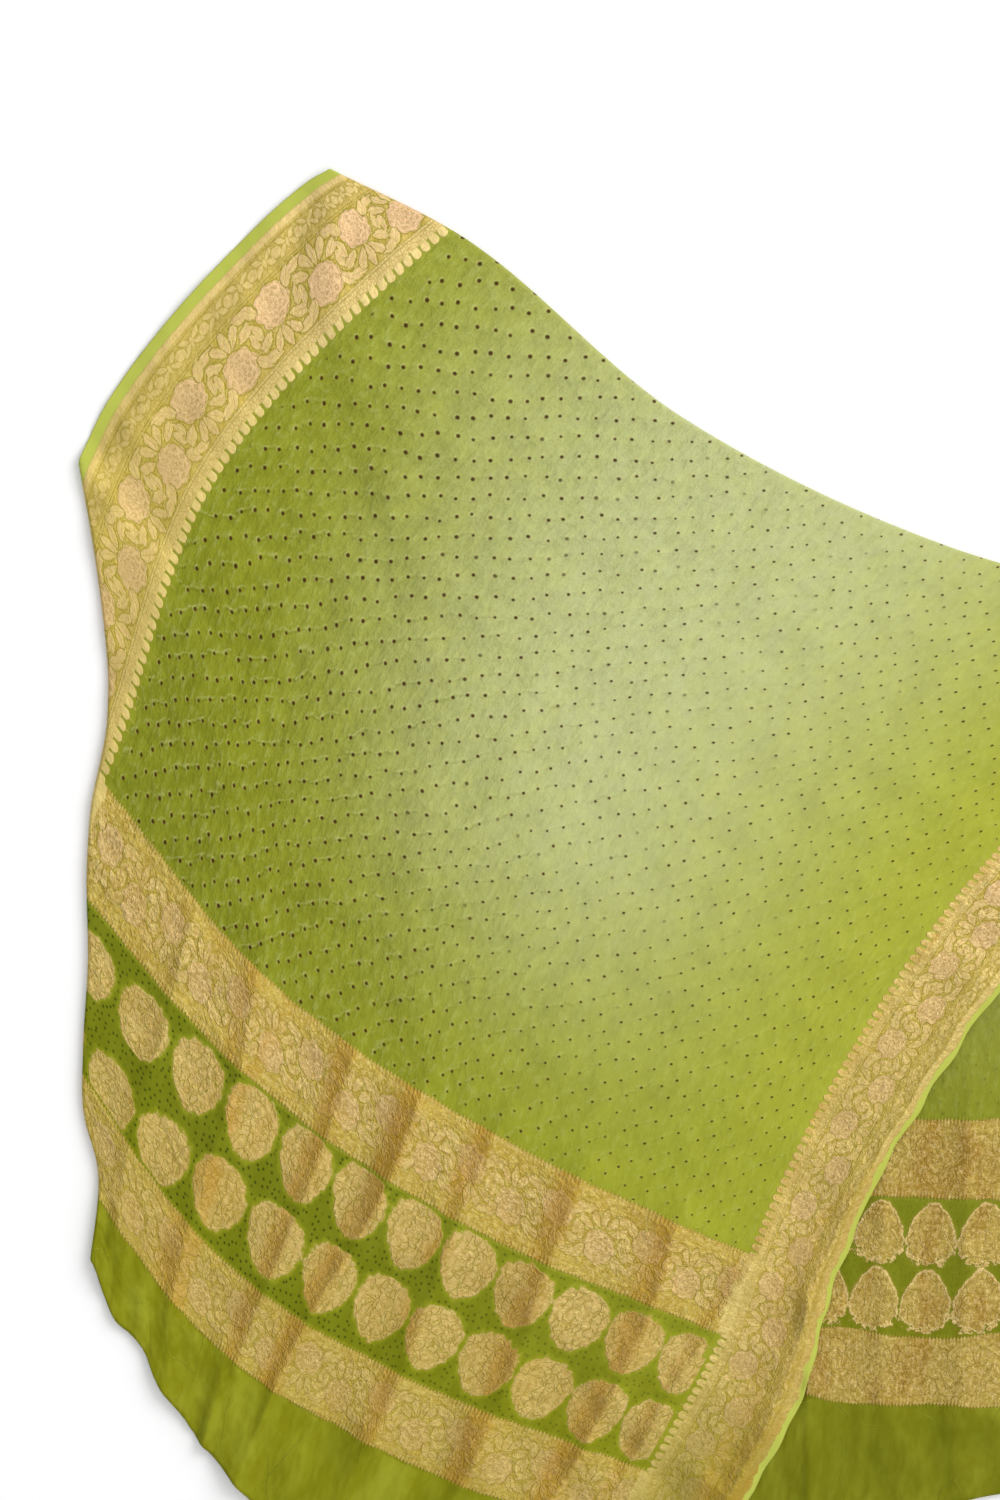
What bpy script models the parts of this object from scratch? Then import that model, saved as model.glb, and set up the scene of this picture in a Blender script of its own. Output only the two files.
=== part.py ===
"""A bandhani dupatta: one woven and tie-dyed length of cloth, laid out on a flat surface.

The cloth is a single rectangle, woven in one piece with a gold border along both long sides and a
banded, flowered end (the pallu) at both short sides.  It lies folded once across its length:

  * the front layer lies on top, right side up, and fans out from the slanting top fold;
  * the back layer lies flat underneath, wrong side up, and shows at the lower right;
  * a narrow flap of the front layer is turned under along the left outline.

Units are metres, +Z is up and the surface is Z = 0.  The origin is on the surface, under the middle of
the cloth's outline.  A point of the cloth has two woven coordinates: "across" runs from selvage 1 to
selvage 2, and "along" runs from the front hem, over the top fold, to the back hem.
"""
import math
from collections import namedtuple

import bpy
import numpy as np

# --- The cloth as it was woven -------------------------------------------------------------------
CLOTH_WIDTH = 0.910
CLOTH_LENGTH = 1.800
BORDER_WIDTH = 0.113
PLAIN_END = 0.080
BAND_2_WIDTH = 0.066
FLOWER_FIELD = 0.130
BAND_1_WIDTH = 0.076
BAND_2_HEAD = PLAIN_END + BAND_2_WIDTH
BAND_1_FOOT = BAND_2_HEAD + FLOWER_FIELD
BAND_1_HEAD = BAND_1_FOOT + BAND_1_WIDTH

# --- The sheet and its folds ---------------------------------------------------------------------
SHEET_THICKNESS = 0.0012
LAYER_STEP = 0.0040                      # one layer lies this much higher than the one under it
FOLD_RADIUS = LAYER_STEP / 2
HALF_TURN = math.pi * FOLD_RADIUS / 2    # cloth used by a quarter circle, from a layer to the fold's crest
STEP_RUN = 0.030                         # a layer comes down over the edge of another in this distance
BACK_END_SHRINK = 0.86                   # crinkles shorten the back layer's gold end this much

# --- The mesh ------------------------------------------------------------------------------------
FRONT_ROWS = 32
FOLD_ROWS = 5
BACK_ROWS = 13
FLAP_COLUMNS = 4
FOLD_COLUMNS = 5
OPEN_COLUMNS = (5, 4, 4, 3, 4, 4, 4, 4, 3, 2)    # from each pleat's crest to the next
FLAP_START_ROWS = (16, 26)               # these rows stand closer together, where the flap begins,
FLAP_START_SHARES = (0.56, 0.68)         # between these shares of the front layer's length
NARROW_FLAP = 0.010                      # where nothing is turned under, the flap's columns share this
BACK_FLAP = 0.090                        # and this at the back hem
SEARCH_STEPS = 400

Point = namedtuple("Point", "x y")

# Six threads of the warp, named, by their place across the cloth.
THIRD = (CLOTH_WIDTH - 2 * BORDER_WIDTH) / 3
WARP_THREADS = (0.0, BORDER_WIDTH, BORDER_WIDTH + THIRD, BORDER_WIDTH + 2 * THIRD,
                CLOTH_WIDTH - BORDER_WIDTH, CLOTH_WIDTH)

# Sections across the front layer, as seen from above with the surface's middle at (0, 0): where each
# of the six warp threads crosses it.  The flap is still unfolded here, so it lies left of the outline.
Section = namedtuple("Section", "name selvage_1 teeth_1 third_1 third_2 teeth_2 selvage_2")
FRONT_SECTIONS = (
    Section("hem", Point(-0.473, -0.241), Point(-0.405, -0.332), Point(-0.269, -0.530),
            Point(-0.120, -0.634), Point(0.060, -0.709), Point(0.130, -0.744)),
    Section("band 2 head", Point(-0.456, -0.106), Point(-0.385, -0.194), Point(-0.235, -0.402),
            Point(-0.069, -0.511), Point(0.117, -0.583), Point(0.193, -0.620)),
    Section("band 1 foot", Point(-0.419, -0.010), Point(-0.352, -0.098), Point(-0.194, -0.273),
            Point(-0.014, -0.391), Point(0.177, -0.471), Point(0.250, -0.505)),
    Section("band 1 head", Point(-0.390, 0.060), Point(-0.320, -0.028), Point(-0.179, -0.194),
            Point(0.002, -0.314), Point(0.200, -0.407), Point(0.269, -0.435)),
    Section("middle of the field", Point(-0.313, 0.290), Point(-0.226, 0.224), Point(-0.058, 0.066),
            Point(0.146, -0.048), Point(0.364, -0.122), Point(0.439, -0.147)),
    Section("below the fold", Point(-0.159, 0.458), Point(-0.077, 0.387), Point(0.111, 0.234),
            Point(0.330, 0.129), Point(0.563, 0.074), Point(0.646, 0.057)),
    Section("top fold", Point(-0.138, 0.470), Point(-0.039, 0.420), Point(0.148, 0.268),
            Point(0.367, 0.163), Point(0.599, 0.109), Point(0.682, 0.092)),
)
# How far along the cloth each of the six threads meets the top fold, from the front hem.
FOLD_ALONG = (0.860, 0.895, 0.926, 0.960, 1.010, 1.033)
BELOW_FOLD = 0.050                       # the section "below the fold" lies this far before it

# The left outline, where the flap turns under: its x, and how far the flap's edge reaches in under
# the front layer from there, at places down the outline.
OutlinePoint = namedtuple("OutlinePoint", "y x flap_reach")
LEFT_OUTLINE = (
    OutlinePoint(0.290, -0.350, -0.040),
    OutlinePoint(0.235, -0.342, 0.000),
    OutlinePoint(0.154, -0.328, 0.040),
    OutlinePoint(0.020, -0.319, 0.085),
    OutlinePoint(-0.049, -0.332, 0.109),
    OutlinePoint(-0.097, -0.335, 0.125),
    OutlinePoint(-0.170, -0.334, 0.135),
    OutlinePoint(-0.243, -0.338, 0.145),
    OutlinePoint(-0.296, -0.337, 0.109),
    OutlinePoint(-0.332, -0.327, 0.085),
    OutlinePoint(-0.411, -0.332, 0.008),
    OutlinePoint(-0.428, -0.334, 0.003),
    OutlinePoint(-0.460, -0.336, -0.030),
)

# Both hems are uneven: at these threads the front hem is drawn up, and the back hem hangs lower.
HEM_THREADS = (0.0, 0.200, 0.236, 0.252, 0.266, 0.288, 0.305, 0.320, 0.345, 0.370, 0.410, 0.450, 0.910)
HEM_RISE = (0.010, 0.024, 0.028, 0.017, 0.013, 0.018, 0.018, 0.011, 0.004, 0.0, -0.008, -0.018, -0.010)
BACK_HEM_THREADS = (0.0, 0.300, 0.400, 0.460, 0.550, 0.640, 0.700, 0.760, 0.910)
BACK_HEM_DROP = (0.0, 0.0, 0.020, 0.044, 0.024, 0.014, 0.005, 0.0, 0.0)

# The back layer hangs from the top fold in this direction, seen from above, down to a hem whose y is
# given for each of the six threads.  It gathers sideways toward a middle line on its way down.
BACK_DIRECTION = Point(-0.117, -0.993)
BACK_HEM = (-0.397, -0.421, -0.554, -0.597, -0.593, -0.589)
GATHER_MIDDLE = 0.345
GATHER_SHARE = 0.255                     # its end is narrower by this share,
GATHER_DEPTH = 0.450                     # reached this far below the top fold

# Soft pleats of the front layer.  They follow the warp, so each crest has its place across the cloth
# at five places along it, and it fades out between two more.  A pleat climbs on its left and falls
# away on its right, each over its own width.
PLEAT_PLACES = (0.0, BAND_2_HEAD, BAND_1_FOOT, BAND_1_HEAD, 0.500)
Pleat = namedtuple("Pleat", "hem band_2 band_1_foot band_1_head field fade_from fade_to height left right")
FRONT_PLEATS = (
    Pleat(0.262, 0.246, 0.243, 0.238, 0.236, 0.320, 0.385, 0.0038, 0.011, 0.018),
    Pleat(0.322, 0.318, 0.320, 0.319, 0.318, 0.335, 0.395, 0.0062, 0.016, 0.020),
    Pleat(0.388, 0.404, 0.412, 0.425, 0.430, 0.335, 0.400, 0.0078, 0.014, 0.022),
    Pleat(0.434, 0.452, 0.476, 0.492, 0.500, 0.335, 0.410, 0.0098, 0.014, 0.022),
    Pleat(0.552, 0.554, 0.545, 0.562, 0.566, 0.335, 0.405, 0.0082, 0.015, 0.020),
    Pleat(0.640, 0.648, 0.632, 0.641, 0.644, 0.335, 0.410, 0.0098, 0.016, 0.020),
    Pleat(0.714, 0.732, 0.728, 0.726, 0.724, 0.335, 0.410, 0.0098, 0.016, 0.020),
    Pleat(0.776, 0.780, 0.786, 0.806, 0.810, 0.335, 0.410, 0.0055, 0.013, 0.014),
    Pleat(0.892, 0.890, 0.886, 0.886, 0.896, 0.560, 0.900, 0.0105, 0.024, 0.012),
)
CREST_ROUND = 0.0022

# Soft pleats of the back layer, where its end shows: straight ridges on the surface.
BackPleat = namedtuple("BackPleat", "head foot height left right")
BACK_PLEATS = (
    BackPleat(Point(0.246, -0.455), Point(0.250, -0.640), 0.0052, 0.007, 0.020),
    BackPleat(Point(0.309, -0.360), Point(0.304, -0.640), 0.0030, 0.010, 0.014),
    BackPleat(Point(0.378, -0.280), Point(0.368, -0.640), 0.0042, 0.012, 0.016),
    BackPleat(Point(0.455, -0.250), Point(0.440, -0.640), 0.0040, 0.014, 0.016),
)
PLEAT_FADE = 0.060


def smooth_through(knots, values, at):
    """A smooth curve through the values at the knots, read at every place in `at`.

    Each stretch between two knots is a cubic that leaves and arrives along the average slope of its
    neighbours.  Past the last knot the curve runs on straight.
    """
    spans = [knots[i + 1] - knots[i] for i in range(len(knots) - 1)]
    slopes = [(values[i + 1] - values[i]) / spans[i] for i in range(len(spans))]
    tangents = [slopes[0]]
    for i in range(1, len(spans)):
        tangents.append((slopes[i - 1] * spans[i] + slopes[i] * spans[i - 1]) / (spans[i - 1] + spans[i]))
    tangents.append(slopes[-1])
    result = values[0] + (at - knots[0]) * tangents[0]
    for i, span in enumerate(spans):
        s = (at - knots[i]) / span
        rise = s * s * (3 - 2 * s)
        stretch = (values[i] * (1 - rise) + values[i + 1] * rise
                   + s * (1 - s) * span * ((1 - s) * tangents[i] - s * tangents[i + 1]))
        result = np.where(at >= knots[i], stretch, result)
    past_the_end = values[-1] + (at - knots[-1]) * tangents[-1]
    return np.where(at > knots[-1], past_the_end, result)


def smooth_step(t):
    """0 below 0, 1 above 1, and a soft S between."""
    t = np.clip(t, 0.0, 1.0)
    return t * t * (3 - 2 * t)


def fold_along(across):
    """How far along the cloth the thread at `across` meets the top fold."""
    return smooth_through(WARP_THREADS, FOLD_ALONG, across)


def front_plan(across, along):
    """Where a point of the front layer lies, seen from above, with the flap still unfolded."""
    rise = smooth_through(HEM_THREADS, HEM_RISE, across)
    along = along + rise * (1 - smooth_step(along / PLAIN_END))
    to_fold = fold_along(across)
    level = np.zeros_like(across)
    knots = [level, level + BAND_2_HEAD, level + BAND_1_FOOT, level + BAND_1_HEAD,
             (to_fold + BAND_1_HEAD) / 2, to_fold - BELOW_FOLD, to_fold]
    plan = []
    for axis in range(2):
        crossings = []
        for section in FRONT_SECTIONS:
            places = [point[axis] for point in section[1:]]
            crossings.append(smooth_through(WARP_THREADS, places, across))
        plan.append(smooth_through(knots, crossings, along))
    return plan[0], plan[1]


def left_outline(y):
    """The x of the left outline and of the flap's hidden edge, at each height y of the plan."""
    heights = [point.y for point in reversed(LEFT_OUTLINE)]
    outline = smooth_through(heights, [point.x for point in reversed(LEFT_OUTLINE)], y)
    reach = np.interp(y, heights, [point.flap_reach for point in reversed(LEFT_OUTLINE)])
    return outline, outline + reach


def around_fold(distance):
    """Distance from a fold's crest, seen from above, of cloth that is `distance` along from it.

    The cloth goes over the crest in a half circle and then lies flat.
    """
    curled = FOLD_RADIUS * (1 - np.cos(np.minimum(distance, HALF_TURN) / FOLD_RADIUS))
    return np.where(distance < HALF_TURN, curled, distance - HALF_TURN + FOLD_RADIUS)


def above_fold(distance):
    """0 on the layer below a fold, 1 on the layer above it, and the half circle's rise between."""
    angle = np.clip(distance / FOLD_RADIUS, -math.pi / 2, math.pi / 2)
    return (1 + np.sin(angle)) / 2


def back_plan(across, along):
    """Where a point of the back layer lies, seen from above: down from the top fold and gathered.

    The gold end is shortened by its crinkles, and the rest of each thread fills what is left of its
    way from the fold to the hem.
    """
    drop = smooth_through(BACK_HEM_THREADS, BACK_HEM_DROP, across)
    along = along + drop * smooth_step((along - CLOTH_LENGTH + PLAIN_END) / PLAIN_END)
    to_fold = fold_along(across)
    x, y = front_plan(across, to_fold)
    way_down = (smooth_through(WARP_THREADS, BACK_HEM, across) - y) / BACK_DIRECTION.y
    above_end = CLOTH_LENGTH - to_fold - BAND_1_HEAD
    used = around_fold(along - to_fold)
    share = (way_down - BAND_1_HEAD * BACK_END_SHRINK) / above_end
    down = np.minimum(used, above_end) * share + np.maximum(used - above_end, 0.0) * BACK_END_SHRINK
    gathered = 1 - GATHER_SHARE * smooth_step(down / GATHER_DEPTH)
    x = GATHER_MIDDLE + (x + down * BACK_DIRECTION.x - GATHER_MIDDLE) * gathered
    return x, y + down * BACK_DIRECTION.y


def over_back_layer(x, y):
    """1 over the back layer, falling to 0 just outside its left edge and its hem."""
    lengths = np.linspace(CLOTH_LENGTH, FOLD_ALONG[0], SEARCH_STEPS)
    edge_x, edge_y = back_plan(np.zeros_like(lengths), lengths)
    from_left = smooth_step((x - np.interp(y, edge_y, edge_x) + STEP_RUN) / STEP_RUN)
    threads = np.linspace(0.0, CLOTH_WIDTH, SEARCH_STEPS)
    hem_x, hem_y = back_plan(threads, np.full_like(threads, CLOTH_LENGTH))
    from_hem = smooth_step((y - np.interp(x, hem_x, hem_y) + STEP_RUN) / STEP_RUN)
    return from_left * from_hem


def crest_across(pleat, along):
    """How far across the cloth a pleat's crest lies: a smooth curve through its five places."""
    return smooth_through(PLEAT_PLACES, pleat[:len(PLEAT_PLACES)], np.minimum(along, PLEAT_PLACES[-1]))


def pleat_profile(offset, left, right):
    """Height beside a crest, from 1 down to 0, falling away over a width of its own on each side."""
    rounded = np.sqrt(offset ** 2 + CREST_ROUND ** 2) - CREST_ROUND
    return np.exp(-rounded / np.where(offset < 0, left, right))


def front_pleats(across, along):
    """Height of the front layer's soft pleats, which follow the warp."""
    height = np.zeros_like(across)
    for pleat in FRONT_PLEATS:
        profile = pleat_profile(across - crest_across(pleat, along), pleat.left, pleat.right)
        fade = 1 - smooth_step((along - pleat.fade_from) / (pleat.fade_to - pleat.fade_from))
        height = height + pleat.height * profile * fade
    return height


def back_pleats(x, y):
    """Height of the back layer's soft pleats, from a head to a foot on the surface."""
    height = np.zeros_like(x)
    for pleat in BACK_PLEATS:
        run = (y - pleat.head.y) / (pleat.foot.y - pleat.head.y)
        crest = pleat.head.x + (pleat.foot.x - pleat.head.x) * run
        fade = smooth_step((pleat.head.y + PLEAT_FADE - y) / PLEAT_FADE)
        height = height + pleat.height * pleat_profile(x - crest, pleat.left, pleat.right) * fade
    return height


def lay_cloth(across, along):
    """The place in space of each point of the cloth, as it lies folded."""
    before_fold = fold_along(across) - along
    front_x, front_y = front_plan(across, fold_along(across) - around_fold(np.maximum(before_fold, 0.0)))
    outline, flap_edge = left_outline(front_y)
    inside = front_x - outline
    front_x = outline + around_fold(np.abs(inside))
    back_x, back_y = back_plan(across, np.maximum(along, fold_along(across)))
    in_front = before_fold >= 0
    x = np.where(in_front, front_x, back_x)
    y = np.where(in_front, front_y, back_y)
    over_flap = smooth_step(1 - (x - flap_edge) / STEP_RUN)
    lift = LAYER_STEP * over_flap + front_pleats(across, along)
    lift = LAYER_STEP * over_back_layer(x, y) + above_fold(inside) * lift
    z = SHEET_THICKNESS / 2 + back_pleats(x, y) + above_fold(before_fold) * np.where(in_front, lift, LAYER_STEP)
    return x, y, z


def front_row(across, share):
    """How far along the cloth a row of the front layer runs: its share of each thread, hem to fold."""
    return share * (fold_along(across) - HALF_TURN)


def turned_under(share):
    """How far across the cloth the left outline cuts a row of the front, and half its fold's width."""
    across = np.linspace(0.0, CLOTH_WIDTH / 2, SEARCH_STEPS)
    x, y = front_plan(across, front_row(across, share))
    inside = x - left_outline(y)[0]
    crest = float(np.interp(0.0, inside, across))
    fold_half = float(np.interp(HALF_TURN, inside, across)) - crest
    return max(crest, NARROW_FLAP), min(max(fold_half, HALF_TURN), NARROW_FLAP / 2)


def columns_across(crest, fold_half, along):
    """Places across the cloth of one row's columns: the flap, its fold, and on from crest to crest."""
    start = crest + fold_half
    parts = [np.linspace(0.0, crest - fold_half, FLAP_COLUMNS + 1),
             np.linspace(crest - fold_half, start, FOLD_COLUMNS + 1)[1:]]
    stops = [float(crest_across(pleat, np.float64(along))) for pleat in FRONT_PLEATS]
    for count, stop in zip(OPEN_COLUMNS, [*stops, CLOTH_WIDTH]):
        parts.append(np.linspace(start, stop, count + 1)[1:])
        start = stop
    return np.concatenate(parts)


def cloth_grid():
    """Woven coordinates of the mesh: rows from the front hem to the back hem, dense at the folds."""
    rows_across = []
    rows_along = []
    for row in range(FRONT_ROWS + FOLD_ROWS + BACK_ROWS + 1):
        if row <= FRONT_ROWS:
            share = float(np.interp(row, (0, *FLAP_START_ROWS, FRONT_ROWS), (0, *FLAP_START_SHARES, 1)))
            middle = float(front_row(np.float64(CLOTH_WIDTH / 2), share))
            across = columns_across(*turned_under(share), middle)
            along = front_row(across, share)
        elif row <= FRONT_ROWS + FOLD_ROWS:
            share = (row - FRONT_ROWS) / FOLD_ROWS
            across = columns_across(NARROW_FLAP, HALF_TURN, PLEAT_PLACES[-1])
            along = fold_along(across) + HALF_TURN * (2 * share - 1)
        else:
            share = (row - FRONT_ROWS - FOLD_ROWS) / BACK_ROWS
            across = columns_across(NARROW_FLAP + BACK_FLAP * share, HALF_TURN, PLEAT_PLACES[-1])
            start = fold_along(across) + HALF_TURN
            along = start + share * (CLOTH_LENGTH - start)
        rows_across.append(across)
        rows_along.append(along)
    return np.array(rows_across), np.array(rows_along)


def quads(rows, columns):
    """Corner numbers of the four-sided faces of a grid of points, row by row."""
    corner = np.arange(rows * columns).reshape(rows, columns)
    faces = np.stack([corner[:-1, :-1], corner[:-1, 1:], corner[1:, 1:], corner[1:, :-1]], axis=-1)
    return faces.reshape(-1, 4)


def cloth_material():
    """Green georgette with gold in its borders: one soft, matt finish."""
    material = bpy.data.materials.new("green_and_gold_georgette")
    material.use_nodes = True
    shader = material.node_tree.nodes["Principled BSDF"]
    shader.inputs["Base Color"].default_value = (0.33, 0.38, 0.06, 1.0)
    shader.inputs["Roughness"].default_value = 0.8
    shader.inputs["Metallic"].default_value = 0.0
    return material


def build_cloth(collection):
    """The folded sheet: an open surface through the laid cloth, given its thickness."""
    across, along = cloth_grid()
    x, y, z = lay_cloth(across, along)
    x = x - (x.min() + x.max()) / 2
    y = y - (y.min() + y.max()) / 2
    points = np.stack([x, y, z], axis=-1).reshape(-1, 3)
    mesh = bpy.data.meshes.new("bandhani_cloth")
    mesh.from_pydata(points.tolist(), [], quads(*across.shape).tolist())
    mesh.shade_smooth()
    mesh.materials.append(cloth_material())
    cloth = bpy.data.objects.new("bandhani_cloth", mesh)
    collection.objects.link(cloth)
    solidify = cloth.modifiers.new("sheet thickness", "SOLIDIFY")
    solidify.thickness = SHEET_THICKNESS
    solidify.offset = 0.0
    return cloth


def main():
    """Clear the scene and build the cloth in a collection of its own."""
    for old in list(bpy.data.objects):
        bpy.data.objects.remove(old, do_unlink=True)
    collection = bpy.data.collections.new("bandhani_dupatta")
    bpy.context.scene.collection.children.link(collection)
    build_cloth(collection)


main()
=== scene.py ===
# %% [markdown]
# # A bandhani dupatta, laid out folded
#
# Bandhani is tie-dye: a tyer pinches up a point of cloth, binds it with thread and dips the cloth, so
# that each bound point stays as a small dot in a pucker.  This dupatta is one length of georgette,
# woven with a gold border down both long sides and a banded, flowered gold end at both short sides.
# It lies folded once across its length.
#
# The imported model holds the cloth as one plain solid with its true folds.  This script lays a finer
# sheet on those folds and gives it its dye, its dots and its gold.

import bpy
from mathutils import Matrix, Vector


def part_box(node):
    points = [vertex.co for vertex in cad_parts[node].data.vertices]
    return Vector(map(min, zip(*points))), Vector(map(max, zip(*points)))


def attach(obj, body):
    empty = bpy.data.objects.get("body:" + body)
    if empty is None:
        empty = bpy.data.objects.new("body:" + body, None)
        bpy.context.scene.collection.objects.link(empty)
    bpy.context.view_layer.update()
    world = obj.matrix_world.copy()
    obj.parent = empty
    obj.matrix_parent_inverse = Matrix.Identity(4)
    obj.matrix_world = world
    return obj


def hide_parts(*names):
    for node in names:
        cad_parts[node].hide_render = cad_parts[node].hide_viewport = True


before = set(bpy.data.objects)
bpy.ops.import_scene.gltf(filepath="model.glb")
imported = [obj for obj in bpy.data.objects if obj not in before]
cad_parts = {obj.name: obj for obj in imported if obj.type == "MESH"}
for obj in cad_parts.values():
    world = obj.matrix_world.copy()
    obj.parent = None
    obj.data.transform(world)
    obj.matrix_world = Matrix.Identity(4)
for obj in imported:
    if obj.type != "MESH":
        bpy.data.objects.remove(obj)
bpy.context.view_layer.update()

# %% The modules used here
import math
from collections import namedtuple

import bpy
import numpy as np

MM = 0.001
SEED = 11
DRAWS = np.random.default_rng(SEED)
print("Blender", bpy.app.version_string, "and numpy", np.__version__)

# %% [markdown]
# ## The cloth as it was woven
#
# Everything on a woven cloth has its place in two numbers: how far *across* it lies from one selvage,
# and how far *along* from the front hem.  The borders, bands and flowers are all measured so, and the
# same two numbers are later written into the mesh as its UV map.  A pattern that reads them follows
# the cloth over every fold, which a pattern read from the object's own coordinates would not do.

# %% Sizes of the woven cloth, in metres
CLOTH_WIDTH = 0.910
CLOTH_LENGTH = 1.800
BORDER_WIDTH = 0.113
PLAIN_END = 0.080
BAND_2_HEAD = 0.146
BAND_1_FOOT = 0.276
BAND_1_HEAD = 0.352
print(f"cut size {CLOTH_WIDTH:.2f} x {CLOTH_LENGTH:.2f} m, borders {BORDER_WIDTH / MM:.0f} mm")

# %% [markdown]
# ## Where the folded cloth lies
#
# The solid was drawn from a short table: six warp threads, and where each crosses seven sections
# of the front layer.  The same table is repeated here, so the fine sheet lies exactly on the solid.
# Smooth curves through it give a function from (across, along) to a place in space.  A cloth
# simulation would also fold the sheet, but it would not put each border and each flower where it
# belongs, and here the outline and the pattern both matter.

# %% The table of the layout
SHEET_THICKNESS = 0.0008
LAYER_STEP = 0.0040
FOLD_RADIUS = LAYER_STEP / 2
HALF_TURN = math.pi * FOLD_RADIUS / 2
STEP_RUN = 0.030
BACK_END_SHRINK = 0.86

Point = namedtuple("Point", "x y")
THIRD = (CLOTH_WIDTH - 2 * BORDER_WIDTH) / 3
WARP_THREADS = (0.0, BORDER_WIDTH, BORDER_WIDTH + THIRD, BORDER_WIDTH + 2 * THIRD,
                CLOTH_WIDTH - BORDER_WIDTH, CLOTH_WIDTH)
Section = namedtuple("Section", "name selvage_1 teeth_1 third_1 third_2 teeth_2 selvage_2")
FRONT_SECTIONS = (
    Section("hem", (-0.473, -0.241), (-0.405, -0.332), (-0.269, -0.530),
            (-0.120, -0.634), (0.060, -0.709), (0.130, -0.744)),
    Section("band 2 head", (-0.456, -0.106), (-0.385, -0.194), (-0.235, -0.402),
            (-0.069, -0.511), (0.117, -0.583), (0.193, -0.620)),
    Section("band 1 foot", (-0.419, -0.010), (-0.352, -0.098), (-0.194, -0.273),
            (-0.014, -0.391), (0.177, -0.471), (0.250, -0.505)),
    Section("band 1 head", (-0.390, 0.060), (-0.320, -0.028), (-0.179, -0.194),
            (0.002, -0.314), (0.200, -0.407), (0.269, -0.435)),
    Section("middle of the field", (-0.313, 0.290), (-0.226, 0.224), (-0.058, 0.066),
            (0.146, -0.048), (0.364, -0.122), (0.439, -0.147)),
    Section("below the fold", (-0.159, 0.458), (-0.077, 0.387), (0.111, 0.234),
            (0.330, 0.129), (0.563, 0.074), (0.646, 0.057)),
    Section("top fold", (-0.138, 0.470), (-0.039, 0.420), (0.148, 0.268),
            (0.367, 0.163), (0.599, 0.109), (0.682, 0.092)),
)
FOLD_ALONG = (0.860, 0.895, 0.926, 0.960, 1.010, 1.033)
BELOW_FOLD = 0.050
print(len(FRONT_SECTIONS), "sections of", len(WARP_THREADS), "threads")

# %% The left outline with its flap, both hems and the way the back layer falls
OutlinePoint = namedtuple("OutlinePoint", "y x flap_reach")
LEFT_OUTLINE = (
    OutlinePoint(-0.460, -0.336, -0.030),
    OutlinePoint(-0.428, -0.334, 0.003),
    OutlinePoint(-0.411, -0.332, 0.008),
    OutlinePoint(-0.332, -0.327, 0.085),
    OutlinePoint(-0.296, -0.337, 0.109),
    OutlinePoint(-0.243, -0.338, 0.145),
    OutlinePoint(-0.170, -0.334, 0.135),
    OutlinePoint(-0.097, -0.335, 0.125),
    OutlinePoint(-0.049, -0.332, 0.109),
    OutlinePoint(0.020, -0.319, 0.085),
    OutlinePoint(0.154, -0.328, 0.040),
    OutlinePoint(0.235, -0.342, 0.000),
    OutlinePoint(0.290, -0.350, -0.040),
)
HEM_THREADS = (0.0, 0.200, 0.236, 0.252, 0.266, 0.288, 0.305, 0.320, 0.345, 0.370, 0.410, 0.450, 0.910)
HEM_RISE = (0.010, 0.024, 0.028, 0.017, 0.013, 0.018, 0.018, 0.011, 0.004, 0.0, -0.008, -0.018, -0.010)
BACK_HEM_THREADS = (0.0, 0.300, 0.400, 0.460, 0.550, 0.640, 0.700, 0.760, 0.910)
BACK_HEM_DROP = (0.0, 0.0, 0.020, 0.044, 0.024, 0.014, 0.005, 0.0, 0.0)
BACK_DIRECTION = Point(-0.117, -0.993)
BACK_HEM = (-0.397, -0.421, -0.554, -0.597, -0.593, -0.589)
GATHER_MIDDLE = 0.345
GATHER_SHARE = 0.255
GATHER_DEPTH = 0.450
SEARCH_STEPS = 400
print("the left outline has", len(LEFT_OUTLINE), "points")


# %% Smooth curves through a short table
def smooth_through(knots, values, at):
    """A smooth curve through the values at the knots, read at every place in `at`.

    Each stretch between two knots is a cubic that leaves and arrives along the average slope of its
    neighbours.  Past the last knot the curve runs on straight.
    """
    spans = [knots[i + 1] - knots[i] for i in range(len(knots) - 1)]
    slopes = [(values[i + 1] - values[i]) / spans[i] for i in range(len(spans))]
    tangents = [slopes[0]]
    for i in range(1, len(spans)):
        tangents.append((slopes[i - 1] * spans[i] + slopes[i] * spans[i - 1]) / (spans[i - 1] + spans[i]))
    tangents.append(slopes[-1])
    result = values[0] + (at - knots[0]) * tangents[0]
    for i, span in enumerate(spans):
        s = (at - knots[i]) / span
        rise = s * s * (3 - 2 * s)
        stretch = (values[i] * (1 - rise) + values[i + 1] * rise
                   + s * (1 - s) * span * ((1 - s) * tangents[i] - s * tangents[i + 1]))
        result = np.where(at >= knots[i], stretch, result)
    past_the_end = values[-1] + (at - knots[-1]) * tangents[-1]
    return np.where(at > knots[-1], past_the_end, result)


def smooth_step(t):
    """0 below 0, 1 above 1, and between them three t squared less two t cubed."""
    t = np.clip(t, 0.0, 1.0)
    return t * t * (3 - 2 * t)


print("a soft step is", round(float(smooth_step(0.25)), 3), "at a quarter of its way")


# %% From the woven cloth to the plan of each layer
def fold_along(across):
    """How far along the cloth the thread at `across` meets the top fold."""
    return smooth_through(WARP_THREADS, FOLD_ALONG, across)


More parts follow.
